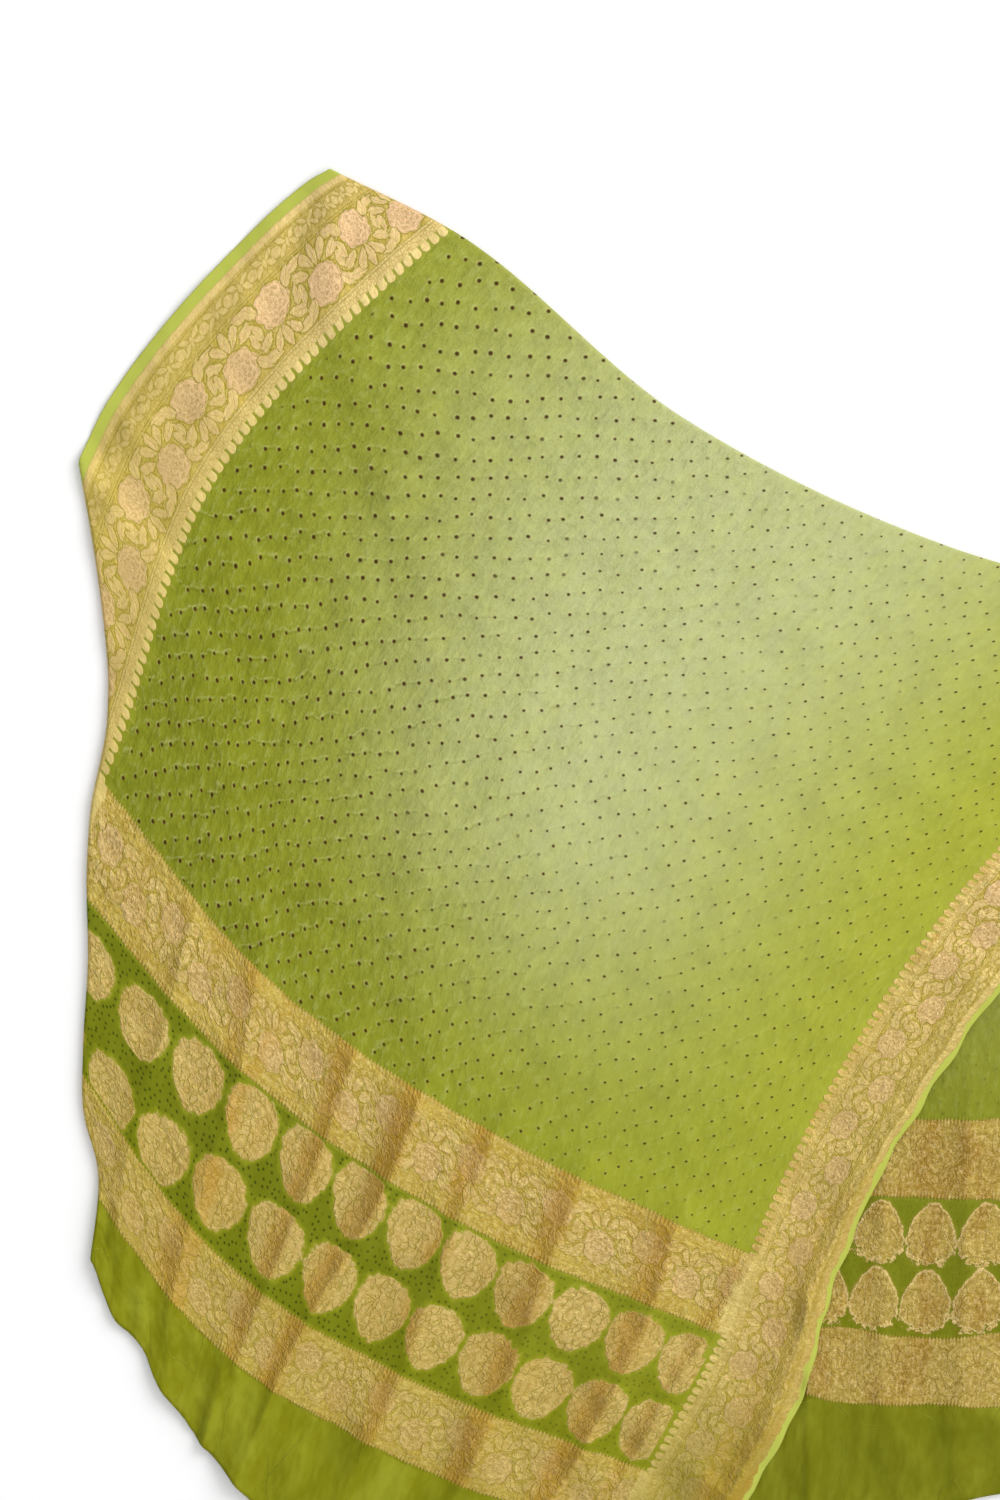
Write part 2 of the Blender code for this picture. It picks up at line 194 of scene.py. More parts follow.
def front_plan(across, along):
    """Where a point of the front layer lies, seen from above, with the flap still unfolded."""
    rise = smooth_through(HEM_THREADS, HEM_RISE, across)
    along = along + rise * (1 - smooth_step(along / PLAIN_END))
    to_fold = fold_along(across)
    level = np.zeros_like(across)
    knots = [level, level + BAND_2_HEAD, level + BAND_1_FOOT, level + BAND_1_HEAD,
             (to_fold + BAND_1_HEAD) / 2, to_fold - BELOW_FOLD, to_fold]
    plan = []
    for axis in range(2):
        crossings = []
        for section in FRONT_SECTIONS:
            places = [point[axis] for point in section[1:]]
            crossings.append(smooth_through(WARP_THREADS, places, across))
        plan.append(smooth_through(knots, crossings, along))
    return plan[0], plan[1]


def left_outline(y):
    """The x of the left outline and of the flap's hidden edge, at each height y of the plan."""
    heights = [point.y for point in LEFT_OUTLINE]
    outline = smooth_through(heights, [point.x for point in LEFT_OUTLINE], y)
    reach = np.interp(y, heights, [point.flap_reach for point in LEFT_OUTLINE])
    return outline, outline + reach


def around_fold(distance):
    """Distance from a fold's crest, seen from above, of cloth that is `distance` along from it.

    The cloth goes over the crest in a half circle, where the plan is the radius times one less the
    cosine of the angle, and then lies flat.
    """
    curled = FOLD_RADIUS * (1 - np.cos(np.minimum(distance, HALF_TURN) / FOLD_RADIUS))
    return np.where(distance < HALF_TURN, curled, distance - HALF_TURN + FOLD_RADIUS)


def above_fold(distance):
    """0 on the layer below a fold, 1 on the layer above it, and the half circle's rise between."""
    angle = np.clip(distance / FOLD_RADIUS, -math.pi / 2, math.pi / 2)
    return (1 + np.sin(angle)) / 2


def back_plan(across, along):
    """Where a point of the back layer lies, seen from above: down from the top fold and gathered.

    The gold end is shortened by its crinkles, and the rest of each thread fills what is left of its
    way from the fold to the hem.  The gathering draws every x toward the middle line by a share that
    grows in a soft S.
    """
    drop = smooth_through(BACK_HEM_THREADS, BACK_HEM_DROP, across)
    along = along + drop * smooth_step((along - CLOTH_LENGTH + PLAIN_END) / PLAIN_END)
    to_fold = fold_along(across)
    x, y = front_plan(across, to_fold)
    way_down = (smooth_through(WARP_THREADS, BACK_HEM, across) - y) / BACK_DIRECTION.y
    above_end = CLOTH_LENGTH - to_fold - BAND_1_HEAD
    used = around_fold(along - to_fold)
    share = (way_down - BAND_1_HEAD * BACK_END_SHRINK) / above_end
    down = np.minimum(used, above_end) * share + np.maximum(used - above_end, 0.0) * BACK_END_SHRINK
    gathered = 1 - GATHER_SHARE * smooth_step(down / GATHER_DEPTH)
    x = GATHER_MIDDLE + (x + down * BACK_DIRECTION.x - GATHER_MIDDLE) * gathered
    return x, y + down * BACK_DIRECTION.y


def over_back_layer(x, y):
    """1 over the back layer, falling to 0 just outside its left edge and its hem."""
    lengths = np.linspace(CLOTH_LENGTH, FOLD_ALONG[0], SEARCH_STEPS)
    edge_x, edge_y = back_plan(np.zeros_like(lengths), lengths)
    from_left = smooth_step((x - np.interp(y, edge_y, edge_x) + STEP_RUN) / STEP_RUN)
    threads = np.linspace(0.0, CLOTH_WIDTH, SEARCH_STEPS)
    hem_x, hem_y = back_plan(threads, np.full_like(threads, CLOTH_LENGTH))
    from_hem = smooth_step((y - np.interp(x, hem_x, hem_y) + STEP_RUN) / STEP_RUN)
    return from_left * from_hem


fold_x, fold_y = front_plan(np.array(WARP_THREADS), fold_along(np.array(WARP_THREADS)))
print(f"the top fold runs from {fold_x[0]:.3f}, {fold_y[0]:.3f} to {fold_x[-1]:.3f}, {fold_y[-1]:.3f}")

# %% [markdown]
# ## Pleats and creases
#
# Where the loose end hangs together, its gold bands buckle into soft knife pleats: each climbs
# slowly on its left, turns over a sharp crest and falls away gently on its right.  Gold shows this
# strongly, because it mirrors the dark side of the room from a slope that faces left.  A pleat here is
# a height that falls off on both sides of a crest line, faster or slower on each side, and the crest
# lines are listed.  Finer ripples come from sums of sine waves and are kept small.

# %% Pleats of the front layer, each with its crest's place across the cloth
PLEAT_PLACES = (0.0, BAND_2_HEAD, BAND_1_FOOT, BAND_1_HEAD, 0.500)
CREST_ROUND = 0.0022
Pleat = namedtuple("Pleat", "hem band_2 band_1_foot band_1_head field fade_from fade_to height "
                            "left right")
FRONT_PLEATS = (
    Pleat(0.262, 0.246, 0.243, 0.238, 0.236, 0.320, 0.385, 0.0038, 0.011, 0.018),
    Pleat(0.322, 0.318, 0.320, 0.319, 0.318, 0.335, 0.395, 0.0062, 0.016, 0.020),
    Pleat(0.388, 0.404, 0.412, 0.425, 0.430, 0.335, 0.400, 0.0078, 0.014, 0.022),
    Pleat(0.434, 0.452, 0.476, 0.492, 0.500, 0.335, 0.410, 0.0098, 0.014, 0.022),
    Pleat(0.552, 0.554, 0.545, 0.562, 0.566, 0.335, 0.405, 0.0082, 0.015, 0.020),
    Pleat(0.640, 0.648, 0.632, 0.641, 0.644, 0.335, 0.410, 0.0098, 0.016, 0.020),
    Pleat(0.714, 0.732, 0.728, 0.726, 0.724, 0.335, 0.410, 0.0098, 0.016, 0.020),
    Pleat(0.776, 0.780, 0.786, 0.806, 0.810, 0.335, 0.410, 0.0055, 0.013, 0.014),
    Pleat(0.892, 0.890, 0.886, 0.886, 0.896, 0.330, 0.900, 0.0090, 0.030, 0.012),
)


def crest_across(pleat, along):
    """How far across the cloth a pleat's crest lies: a smooth curve through its five places."""
    return smooth_through(PLEAT_PLACES, pleat[:len(PLEAT_PLACES)], np.minimum(along, PLEAT_PLACES[-1]))


def pleat_profile(offset, left, right):
    """Height beside a crest, from 1 down to 0: e to the power of less distance over width.

    The distance is rounded over the crest, as the root of its square plus a small square, and the
    width on the left differs from the width on the right.
    """
    rounded = np.sqrt(offset ** 2 + CREST_ROUND ** 2) - CREST_ROUND
    return np.exp(-rounded / np.where(offset < 0, left, right))


def front_pleats(across, along):
    """Height of the front layer's pleats: the sum of their profiles, faded out along the cloth."""
    height = np.zeros_like(across)
    for pleat in FRONT_PLEATS:
        profile = pleat_profile(across - crest_across(pleat, along), pleat.left, pleat.right)
        fade = 1 - smooth_step((along - pleat.fade_from) / (pleat.fade_to - pleat.fade_from))
        height = height + pleat.height * profile * fade
    return height


print(f"{len(FRONT_PLEATS)} pleats, up to {max(pleat.height for pleat in FRONT_PLEATS) / MM:.1f} mm high")

# %% Painted shade on the gold: beside each pleat, along three more lines and on the strip that hangs
PLEAT_SHADE_HEIGHT = 0.0090
PLEAT_SHADE_ASIDE = 0.65
PLEAT_SHADE_WIDTH = 0.80
ROLL_ALONG = (0.0, 0.146, 0.276, 0.352, 0.470)
ROLL_ACROSS = (0.850, 0.845, 0.835, 0.824, 0.893)
ROLL_SOFT = 0.010
ROLL_FADE = 0.080
ROLL_SHADE_SHARE = 0.40
ROLL_SHADE_AT_HEM = 0.52
SHADE_LINES = (
    Pleat(0.334, 0.334, 0.336, 0.362, 0.366, 0.335, 0.400, 0.0060, 0.010, 0.010),
    Pleat(0.296, 0.290, 0.286, 0.284, 0.282, 0.335, 0.400, 0.0030, 0.012, 0.010),
    Pleat(0.500, 0.508, 0.512, 0.522, 0.530, 0.335, 0.400, 0.0030, 0.014, 0.010),
)


def painted_shade_on_gold(across, along):
    """How much painted shade the gold takes, from 0 to 1: a bell down the left of each pleat, on the
    flank that faces away from the light.

    The outer strip of the second border, which hangs over and slopes away from the light, takes
    painted shade beyond a line of its own, and most at the hem.
    """
    shaded_by_paint = np.zeros_like(across)
    # Painted shade: a bell down each pleat's left flank, and along three lines that have no pleat
    for pleat in FRONT_PLEATS[:-1] + SHADE_LINES:
        offset = across - crest_across(pleat, along) + PLEAT_SHADE_ASIDE * pleat.left
        bell = np.exp(-(offset / (PLEAT_SHADE_WIDTH * pleat.left)) ** 2) * pleat.height / PLEAT_SHADE_HEIGHT
        shaded_by_paint = shaded_by_paint + bell * (along < CLOTH_LENGTH / 2)
    # Painted shade on the outer strip of the second border, which slopes away from the light
    roll = smooth_through(ROLL_ALONG, ROLL_ACROSS, np.minimum(along, ROLL_ALONG[-1]))
    in_reach = 1 - smooth_step((along - ROLL_ALONG[-1]) / ROLL_FADE)
    hung = smooth_step((across - roll) / ROLL_SOFT) * in_reach
    share = ROLL_SHADE_SHARE + ROLL_SHADE_AT_HEM * (1 - smooth_step(along / BAND_1_FOOT))
    return np.clip(shaded_by_paint + share * hung, 0.0, 1.0)


hem_line = np.linspace(0.0, CLOTH_WIDTH, SEARCH_STEPS)
share_shaded_by_paint = painted_shade_on_gold(hem_line, np.full_like(hem_line, BAND_2_HEAD)).mean()
print(f"along the lower band's head the gold is pressed to {share_shaded_by_paint:.0%} on average")

# %% Pleats of the back layer, as straight ridges on the plan
PLEAT_FADE = 0.060
BackPleat = namedtuple("BackPleat", "head foot height left right")
BACK_PLEATS = (
    BackPleat(Point(0.246, -0.455), Point(0.250, -0.640), 0.0052, 0.004, 0.020),
    BackPleat(Point(0.309, -0.360), Point(0.304, -0.640), 0.0030, 0.008, 0.014),
    BackPleat(Point(0.378, -0.280), Point(0.368, -0.640), 0.0042, 0.010, 0.016),
    BackPleat(Point(0.455, -0.250), Point(0.440, -0.640), 0.0040, 0.014, 0.016),
)


def back_pleats(x, y):
    """Height of the back layer's pleats, which run from a head to a foot on the surface."""
    height = np.zeros_like(x)
    for pleat in BACK_PLEATS:
        run = (y - pleat.head.y) / (pleat.foot.y - pleat.head.y)
        crest = pleat.head.x + (pleat.foot.x - pleat.head.x) * run
        fade = smooth_step((pleat.head.y + PLEAT_FADE - y) / PLEAT_FADE)
        height = height + pleat.height * pleat_profile(x - crest, pleat.left, pleat.right) * fade
    return height


print(len(BACK_PLEATS), "pleats in the back layer")

# %% Long soft creases of the front layer, from one place on the plan to another
Crease = namedtuple("Crease", "start end height width")
CREASES = (
    Crease((0.235, 0.182), (0.105, 0.085), -0.0016, 0.016),
    Crease((0.105, 0.085), (0.005, -0.035), -0.0014, 0.015),
    Crease((0.005, -0.035), (-0.070, -0.180), -0.0012, 0.016),
    Crease((-0.295, 0.050), (-0.110, 0.048), 0.0009, 0.003),
    Crease((-0.190, 0.040), (-0.235, -0.010), 0.0008, 0.004),
    Crease((-0.240, -0.020), (-0.160, 0.030), -0.0008, 0.006),
    Crease((-0.125, 0.330), (-0.130, 0.150), -0.0013, 0.020),
    Crease((-0.200, 0.200), (-0.120, 0.060), -0.0010, 0.018),
    Crease((0.060, 0.240), (-0.060, 0.010), 0.0010, 0.020),
    Crease((0.180, 0.050), (0.060, -0.210), 0.0010, 0.022),
    Crease((0.290, 0.080), (0.200, -0.180), -0.0010, 0.022),
    Crease((0.360, 0.070), (0.290, -0.120), 0.0010, 0.020),
)


def creases(x, y):
    """Height of straight creases: a bell across each line that fades out at both of its ends."""
    height = np.zeros_like(x)
    for crease in CREASES:
        start_x, start_y = crease.start
        run_x = crease.end[0] - start_x
        run_y = crease.end[1] - start_y
        length = math.hypot(run_x, run_y)
        run = ((x - start_x) * run_x + (y - start_y) * run_y) / length
        aside = ((y - start_y) * run_x - (x - start_x) * run_y) / length
        ends = smooth_step(1.5 - 3 * np.abs(run / length - 0.5))
        height = height + crease.height * np.exp(-(aside / crease.width) ** 2) * ends
    return height


print(sum(crease.height < 0 for crease in CREASES), "troughs and",
      sum(crease.height > 0 for crease in CREASES), "ridges")


# %% Fine ripples, each kind with its height, its number of waves and their lengths
Ripple = namedtuple("Ripple", "height waves shortest longest")
FIELD_WAVES = Ripple(0.0009, 9, 0.050, 0.120)
FIELD_PUCKERS = Ripple(0.0003, 14, 0.014, 0.036)
END_GATHERS = Ripple(0.0019, 12, 0.016, 0.060)
BACK_GATHERS = Ripple(0.0018, 12, 0.016, 0.070)
BACK_WAVES = Ripple(0.0006, 8, 0.020, 0.060)
HEM_WAVES = Ripple(0.0012, 5, 0.020, 0.060)
SELVAGE_WAVES = Ripple(0.0022, 7, 0.014, 0.050)
BORDER_PUCKERS = Ripple(0.0006, 10, 0.016, 0.038)
PUCKER_SQUASH = 2.2
GATHER_STRETCH = 0.35
WAVES_IN_BANDS = 0.3
CALM_AT_FOLD = 0.060
CALM_AT_BAND = 0.040
BACK_END_TOP = -0.500


def ripples(u, v, kind):
    """An uneven rippled height: a sum of sine waves of drawn directions, lengths and phases.

    The sum is divided by the root of the number of waves and multiplied by the kind's height.
    """
    total = np.zeros_like(u)
    for turn, length, phase in zip(DRAWS.uniform(0, math.pi, kind.waves),
                                   DRAWS.uniform(kind.shortest, kind.longest, kind.waves),
                                   DRAWS.uniform(0, 2 * math.pi, kind.waves)):
        total = total + np.sin((u * math.cos(turn) + v * math.sin(turn)) * 2 * math.pi / length + phase)
    return kind.height * (total / math.sqrt(kind.waves))


def front_relief(across, along, x, y):
    """Height of the front layer's pleats, creases and ripples over its smooth bed."""
    from_fold = smooth_step((fold_along(across) - along) / CALM_AT_FOLD)
    in_field = smooth_step((along - BAND_1_HEAD) / CALM_AT_BAND)
    at_end = 1 - smooth_step((along - 0.5 * PLAIN_END) / PLAIN_END)
    waves = ripples(x, y, FIELD_WAVES) * (WAVES_IN_BANDS + (1 - WAVES_IN_BANDS) * in_field)
    puckers = ripples(x, y * PUCKER_SQUASH, FIELD_PUCKERS)
    gathers = ripples(across, along * GATHER_STRETCH, END_GATHERS) * at_end
    return (front_pleats(across, along) + creases(x, y) + waves + puckers + gathers) * from_fold


def back_relief(x, y):
    """Height of the back layer's pleats and ripples, and of the gathers that run down its end."""
    low = smooth_step((BACK_END_TOP - y) / CALM_AT_FOLD)
    gathers = ripples(x, y * GATHER_STRETCH, BACK_GATHERS) * low
    return back_pleats(x, y) + ripples(x, y, BACK_WAVES) + gathers


print("the gathers of the loose end are", END_GATHERS.height / MM, "mm high")

# %% The place in space of each point of the cloth
WAVES_FROM = 0.860
WAVES_GROW = 0.050
PUCKERS_FROM = 0.805
PUCKERS_GROW = 0.070


def lay_cloth(across, along):
    """x, y and z of the laid cloth: its plan, with each layer a step above the one below it.

    The front hem and the second selvage wander in small waves.  The second border is drawn up in
    soft puckers, which fade out before the top fold.
    """
    along = along + ripples(across, across * 0, HEM_WAVES) * (1 - smooth_step(along / PLAIN_END))
    to_fold = fold_along(across)
    before_fold = to_fold - along
    front_x, front_y = front_plan(across, to_fold - around_fold(np.maximum(before_fold, 0.0)))
    outline, flap_edge = left_outline(front_y)
    inside = front_x - outline
    front_x = outline + around_fold(np.abs(inside))
    wave = ripples(along, along * 0, SELVAGE_WAVES)
    front_x = front_x + wave * smooth_step((across - WAVES_FROM) / WAVES_GROW)
    back_x, back_y = back_plan(across, np.maximum(along, to_fold))
    in_front = before_fold >= 0
    x = np.where(in_front, front_x, back_x)
    y = np.where(in_front, front_y, back_y)
    over_flap = smooth_step(1 - (x - flap_edge) / STEP_RUN)
    lift = LAYER_STEP * over_flap + front_relief(across, along, x, y)
    lift = LAYER_STEP * over_back_layer(x, y) + above_fold(inside) * lift
    z = back_relief(x, y) + above_fold(before_fold) * np.where(in_front, lift, LAYER_STEP)
    drawn_up = ripples(along, across * GATHER_STRETCH, BORDER_PUCKERS)
    drawn_up = drawn_up * smooth_step((across - PUCKERS_FROM) / PUCKERS_GROW)
    return x, y, z + drawn_up * smooth_step(before_fold / STEP_RUN)


# %% [markdown]
# ## The grid of the sheet
#
# A sheet is a grid of points.  Rows run from selvage to selvage and columns run along the warp.  They
# stand closer together where the cloth turns: at the top fold, at the flap and at each pleat's crest,
# which a column of its own follows.  Rows also lie just outside the edges of the bands, so that each
# zone of the cloth can have its own finish.  The two faces of a thin wall then make the right side
# and the wrong side of the cloth.

# %% Rows and columns
ZONE_MARGIN = 0.0025
PALLU_EDGES = (0.0, PLAIN_END - ZONE_MARGIN, BAND_2_HEAD + ZONE_MARGIN,
               BAND_1_FOOT - ZONE_MARGIN, BAND_1_HEAD + ZONE_MARGIN)
PALLU_ROWS = (17, 16, 28, 18)
FIELD_ROWS = 112
FOLD_ROWS = 7
HIDDEN_ROWS = 16
ABOVE_BAND = 0.050
ABOVE_BAND_ROWS = 10
FLAP_COLUMNS = 6
FOLD_COLUMNS = 6
OPEN_COLUMNS = (30, 15, 14, 11, 12, 12, 12, 11, 14, 5)
CREST_CROWDING = 0.62
NARROW_FLAP = 0.010
BACK_FLAP = 0.090
Row = namedtuple("Row", "level share")


def row_along(row, across):
    """How far along the cloth a row of the front runs, at each place across it.

    It lies a share of the way from the row's level to the top fold.  A level row has the share 0.
    """
    return row.level + row.share * (fold_along(across) - HALF_TURN - row.level)


def turned_under(row):
    """Where the left outline cuts a row of the front, across the cloth, and half its fold's width."""
    across = np.linspace(0.0, CLOTH_WIDTH / 2, SEARCH_STEPS)
    x, y = front_plan(across, row_along(row, across))
    inside = x - left_outline(y)[0]
    crest = float(np.interp(0.0, inside, across))
    fold_half = float(np.interp(HALF_TURN, inside, across)) - crest
    return max(crest, NARROW_FLAP), min(max(fold_half, HALF_TURN), NARROW_FLAP / 2)


print(sum(PALLU_ROWS), "level rows in the banded end and", FIELD_ROWS, "more up to the fold")


# %% Columns, and then every point of the sheet
def crowded(start, end, count, crowding):
    """`count` steps from start to end, closer together at both ends: a line less a sine wave."""
    share = np.linspace(0.0, 1.0, count + 1)
    return start + (end - start) * (share - crowding * np.sin(2 * math.pi * share) / (2 * math.pi))


def columns_across(crest, fold_half, along):
    """Places across the cloth of a row's columns: the flap, its fold, and on from crest to crest."""
    flap = np.linspace(0.0, crest - fold_half, FLAP_COLUMNS + 1)
    fold = np.linspace(crest - fold_half, crest + fold_half, FOLD_COLUMNS + 1)
    parts = [flap, fold[1:]]
    start = crest + fold_half
    stops = [float(crest_across(pleat, np.float64(along))) for pleat in FRONT_PLEATS]
    for count, stop in zip(OPEN_COLUMNS, [*stops, CLOTH_WIDTH]):
        parts.append(crowded(start, stop, count, CREST_CROWDING)[1:])
        start = stop
    return np.concatenate(parts)


def front_rows():
    """The front layer's rows: level ones through the banded end, then an even spread to the fold."""
    rows = [Row(0.0, 0.0)]
    for count, low, high in zip(PALLU_ROWS, PALLU_EDGES, PALLU_EDGES[1:]):
        rows.extend(Row(level, 0.0) for level in np.linspace(low, high, count + 1)[1:])
    rows.extend(Row(PALLU_EDGES[-1], share) for share in np.linspace(0.0, 1.0, FIELD_ROWS + 1)[1:])
    return rows


def cloth_grid():
    """Woven coordinates of every point of the sheet, row by row from the front hem to the back hem."""
    grid = []
    for row in front_rows():
        crest, fold_half = turned_under(row)
        across = columns_across(crest, fold_half, row_along(row, np.float64(CLOTH_WIDTH / 2)))
        grid.append((across, row_along(row, across)))
    straight = columns_across(NARROW_FLAP, HALF_TURN, PLEAT_PLACES[-1])
    for share in np.linspace(-1.0, 1.0, FOLD_ROWS + 1)[1:]:
        grid.append((straight, fold_along(straight) + HALF_TURN * share))
    hidden = CLOTH_LENGTH - PALLU_EDGES[-1] - ABOVE_BAND
    for share in np.linspace(0.0, 1.0, HIDDEN_ROWS + 1)[1:]:
        across = columns_across(NARROW_FLAP + BACK_FLAP * share, HALF_TURN, PLEAT_PLACES[-1])
        start = fold_along(across) + HALF_TURN
        grid.append((across, start + share * (hidden - start)))
    ends = [hidden, *(CLOTH_LENGTH - edge for edge in reversed(PALLU_EDGES))]
    for count, low, high in zip((ABOVE_BAND_ROWS, *reversed(PALLU_ROWS)), ends, ends[1:]):
        for level in np.linspace(low, high, count + 1)[1:]:
            grid.append((across, np.full_like(across, level)))
    grid = np.array(grid)
    return grid[:, 0], grid[:, 1]


across, along = cloth_grid()
print("grid of", across.shape[0], "rows and", across.shape[1], "columns,", across.size, "points")

# %% [markdown]
# ## Zones of the cloth
#
# One finish for the whole cloth would have to work out every motif at every point.  The weaver's own
# zones are a better split: the dotted field, the borders, the bands, the flowered strip and the plain
# ends.  Each face of the sheet belongs to one zone, and each zone has one finish for its right side
# and one for its wrong side.

# %% Which zone each face belongs to
ZONES = ("field", "border", "band", "flowers", "plain_end")
BORDER_ZONE = BORDER_WIDTH + 2 * ZONE_MARGIN


def zone_of(across, along):
    """The number of the zone at each place: borders first, then by distance from the nearest hem."""
    from_selvage = np.minimum(across, CLOTH_WIDTH - across)
    from_hem = np.minimum(along, CLOTH_LENGTH - along)
    by_hem = np.searchsorted(PALLU_EDGES[1:], from_hem)
    from_hem_up = ("plain_end", "band", "flowers", "band", "field")
    zone = np.array([ZONES.index(name) for name in from_hem_up])[by_hem]
    return np.where(from_selvage < BORDER_ZONE, ZONES.index("border"), zone)


def quads(rows, columns):
    """Corner numbers of the four-sided faces of a grid of points, row by row."""
    corner = np.arange(rows * columns).reshape(rows, columns)
    faces = np.stack([corner[:-1, :-1], corner[:-1, 1:], corner[1:, 1:], corner[1:, :-1]], axis=-1)
    return faces.reshape(-1, 4)


print("zones:", ", ".join(ZONES))


# %% Put the sheet into a mesh
def build_sheet(name, across, along):
    """A mesh through the laid cloth, with the woven coordinates as its UV map and a zone per face.

    How much painted shade the gold takes is written as a number on each point.
    """
    x, y, z = lay_cloth(across, along)
    low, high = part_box("bandhani_cloth")
    x = x + (low.x + high.x - x.min() - x.max()) / 2
    y = y + (low.y + high.y - y.min() - y.max()) / 2
    z = z - z.min() + SHEET_THICKNESS / 2
    faces = quads(*across.shape)
    woven = np.stack([across.ravel(), along.ravel()], axis=-1)[faces]
    mesh = bpy.data.meshes.new(name)
    mesh.from_pydata(np.stack([x, y, z], axis=-1).reshape(-1, 3).tolist(), [], faces.tolist())
    mesh.uv_layers.new(name="woven").data.foreach_set("uv", woven.ravel())
    middle = woven.mean(axis=1)
    mesh.polygons.foreach_set("material_index", zone_of(middle[:, 0], middle[:, 1]).astype(np.int32))
    # Painted shade of the gold, kept on each point for the finishes
    shaded_by_paint = mesh.attributes.new("shaded_by_paint", "FLOAT", "POINT")
    shaded_by_paint.data.foreach_set("value", painted_shade_on_gold(across, along).ravel().astype(np.float32))
    mesh.shade_smooth()
    mesh.update()
    sheet = bpy.data.objects.new(name, mesh)
    bpy.context.scene.collection.objects.link(sheet)
    print(f"{name}: {len(faces)} faces, {z.max() / MM:.1f} mm high")
    return sheet


cloth = build_sheet("bandhani_dupatta", across, along)
wall = cloth.modifiers.new("thickness", "SOLIDIFY")
wall.thickness = SHEET_THICKNESS
wall.offset = 0.0
wall.material_offset = len(ZONES)

# %% [markdown]
# ## Writing shader maths as Python
#
# A node tree of hundreds of Math nodes cannot be read.  The same sums written as Python can.  `Value`
# wraps one output socket and turns `+`, `-`, `*` and `/` into Math nodes.  `NodeTree` adds any other node
# through a single method, and `Finish` is the tree of one material, drawn in woven coordinates.


# %% Expressions that build nodes
class Value:
    """A number that varies over the surface, with operators that add Math nodes to its tree."""

    def __init__(self, tree, socket):
        self.tree = tree
        self.socket = socket

    def __add__(self, other):
        return self.tree.math("ADD", self, other)

    def __radd__(self, other):
        return self.tree.math("ADD", other, self)

    def __sub__(self, other):
        return self.tree.math("SUBTRACT", self, other)

    def __rsub__(self, other):
        return self.tree.math("SUBTRACT", other, self)

    def __mul__(self, other):
        return self.tree.math("MULTIPLY", self, other)

    def __rmul__(self, other):
        return self.tree.math("MULTIPLY", other, self)

    def __truediv__(self, other):
        return self.tree.math("DIVIDE", self, other)

    def __rtruediv__(self, other):
        return self.tree.math("DIVIDE", other, self)

    def __abs__(self):
        return self.tree.math("ABSOLUTE", self)


# %% A tree of nodes, with the soft shapes that are drawn with them
class NodeTree:
    """A tree of shader nodes."""

    def __init__(self, tree):
        self.nodes = tree.nodes
        self.links = tree.links

    def node(self, kind, settings=None, sockets=None):
        """Add a node: first its settings, then the values or links of its sockets."""
        node = self.nodes.new(kind)
        for name, value in (settings or {}).items():
            setattr(node, name, value)
        for name, value in (sockets or {}).items():
            self.feed(node.inputs[name], value)
        return node

    def feed(self, socket, value):
        """Link a value or a socket to a socket, or set a plain number or colour on it."""
        if isinstance(value, Value):
            self.links.new(value.socket, socket)
        elif isinstance(value, bpy.types.NodeSocket):
            self.links.new(value, socket)
        else:
            socket.default_value = value

    def math(self, operation, *terms, clamp=False):
        """One Math node of the given operation on the given terms."""
        settings = {"operation": operation, "use_clamp": clamp}
        return Value(self, self.node("ShaderNodeMath", settings, dict(enumerate(terms))).outputs[0])

    def larger(self, first, second):
        """The larger of two values."""
        return self.math("MAXIMUM", first, second)

    def smaller(self, first, second):
        """The smaller of two values."""
        return self.math("MINIMUM", first, second)

    def inside(self, distance, soft):
        """1 where a distance is below 0, 0 where it is above, over an edge `soft` wide."""
        return self.math("MULTIPLY_ADD", distance, -1 / soft, 0.5, clamp=True)

    def line(self, distance, width, soft):
        """1 on a line of the given width where a distance is 0, and 0 away from it."""
        return self.inside(abs(distance) - width / 2, soft)

    def climb(self, value, start, end):
        """0 where the value is below start, 1 where it is above end, and a soft S between."""
        settings = {"interpolation_type": "SMOOTHSTEP"}
        sockets = {"Value": value, "From Min": start, "From Max": end}
        return Value(self, self.node("ShaderNodeMapRange", settings, sockets).outputs[0])

    def mix(self, factor, first, second):
        """The first colour where the factor is 0, the second where it is 1."""
        node = self.node("ShaderNodeMix", {"data_type": "RGBA"}, {0: factor, 6: first, 7: second})
        return node.outputs[2]

    def coated(self, colour, *coats):
        """A colour with coats laid over it in turn, each given as its share and its tone."""
        for share, tone in coats:
            colour = self.mix(share, colour, tone)
        return colour

    def reach(self, u, v):
        """Distance of a place from 0, 0: the root of the sum of both squares."""
        return self.math("SQRT", self.math("MULTIPLY_ADD", u, u, v * v))

    def past(self, value, threshold):
        """1 where the value is above the threshold and 0 below, with no soft edge."""
        return self.math("GREATER_THAN", value, threshold)


# %% The tree of one finish, with the noises and nets that are read in woven coordinates
Patches = namedtuple("Patches", "across_scale along_scale detail roughness start end")


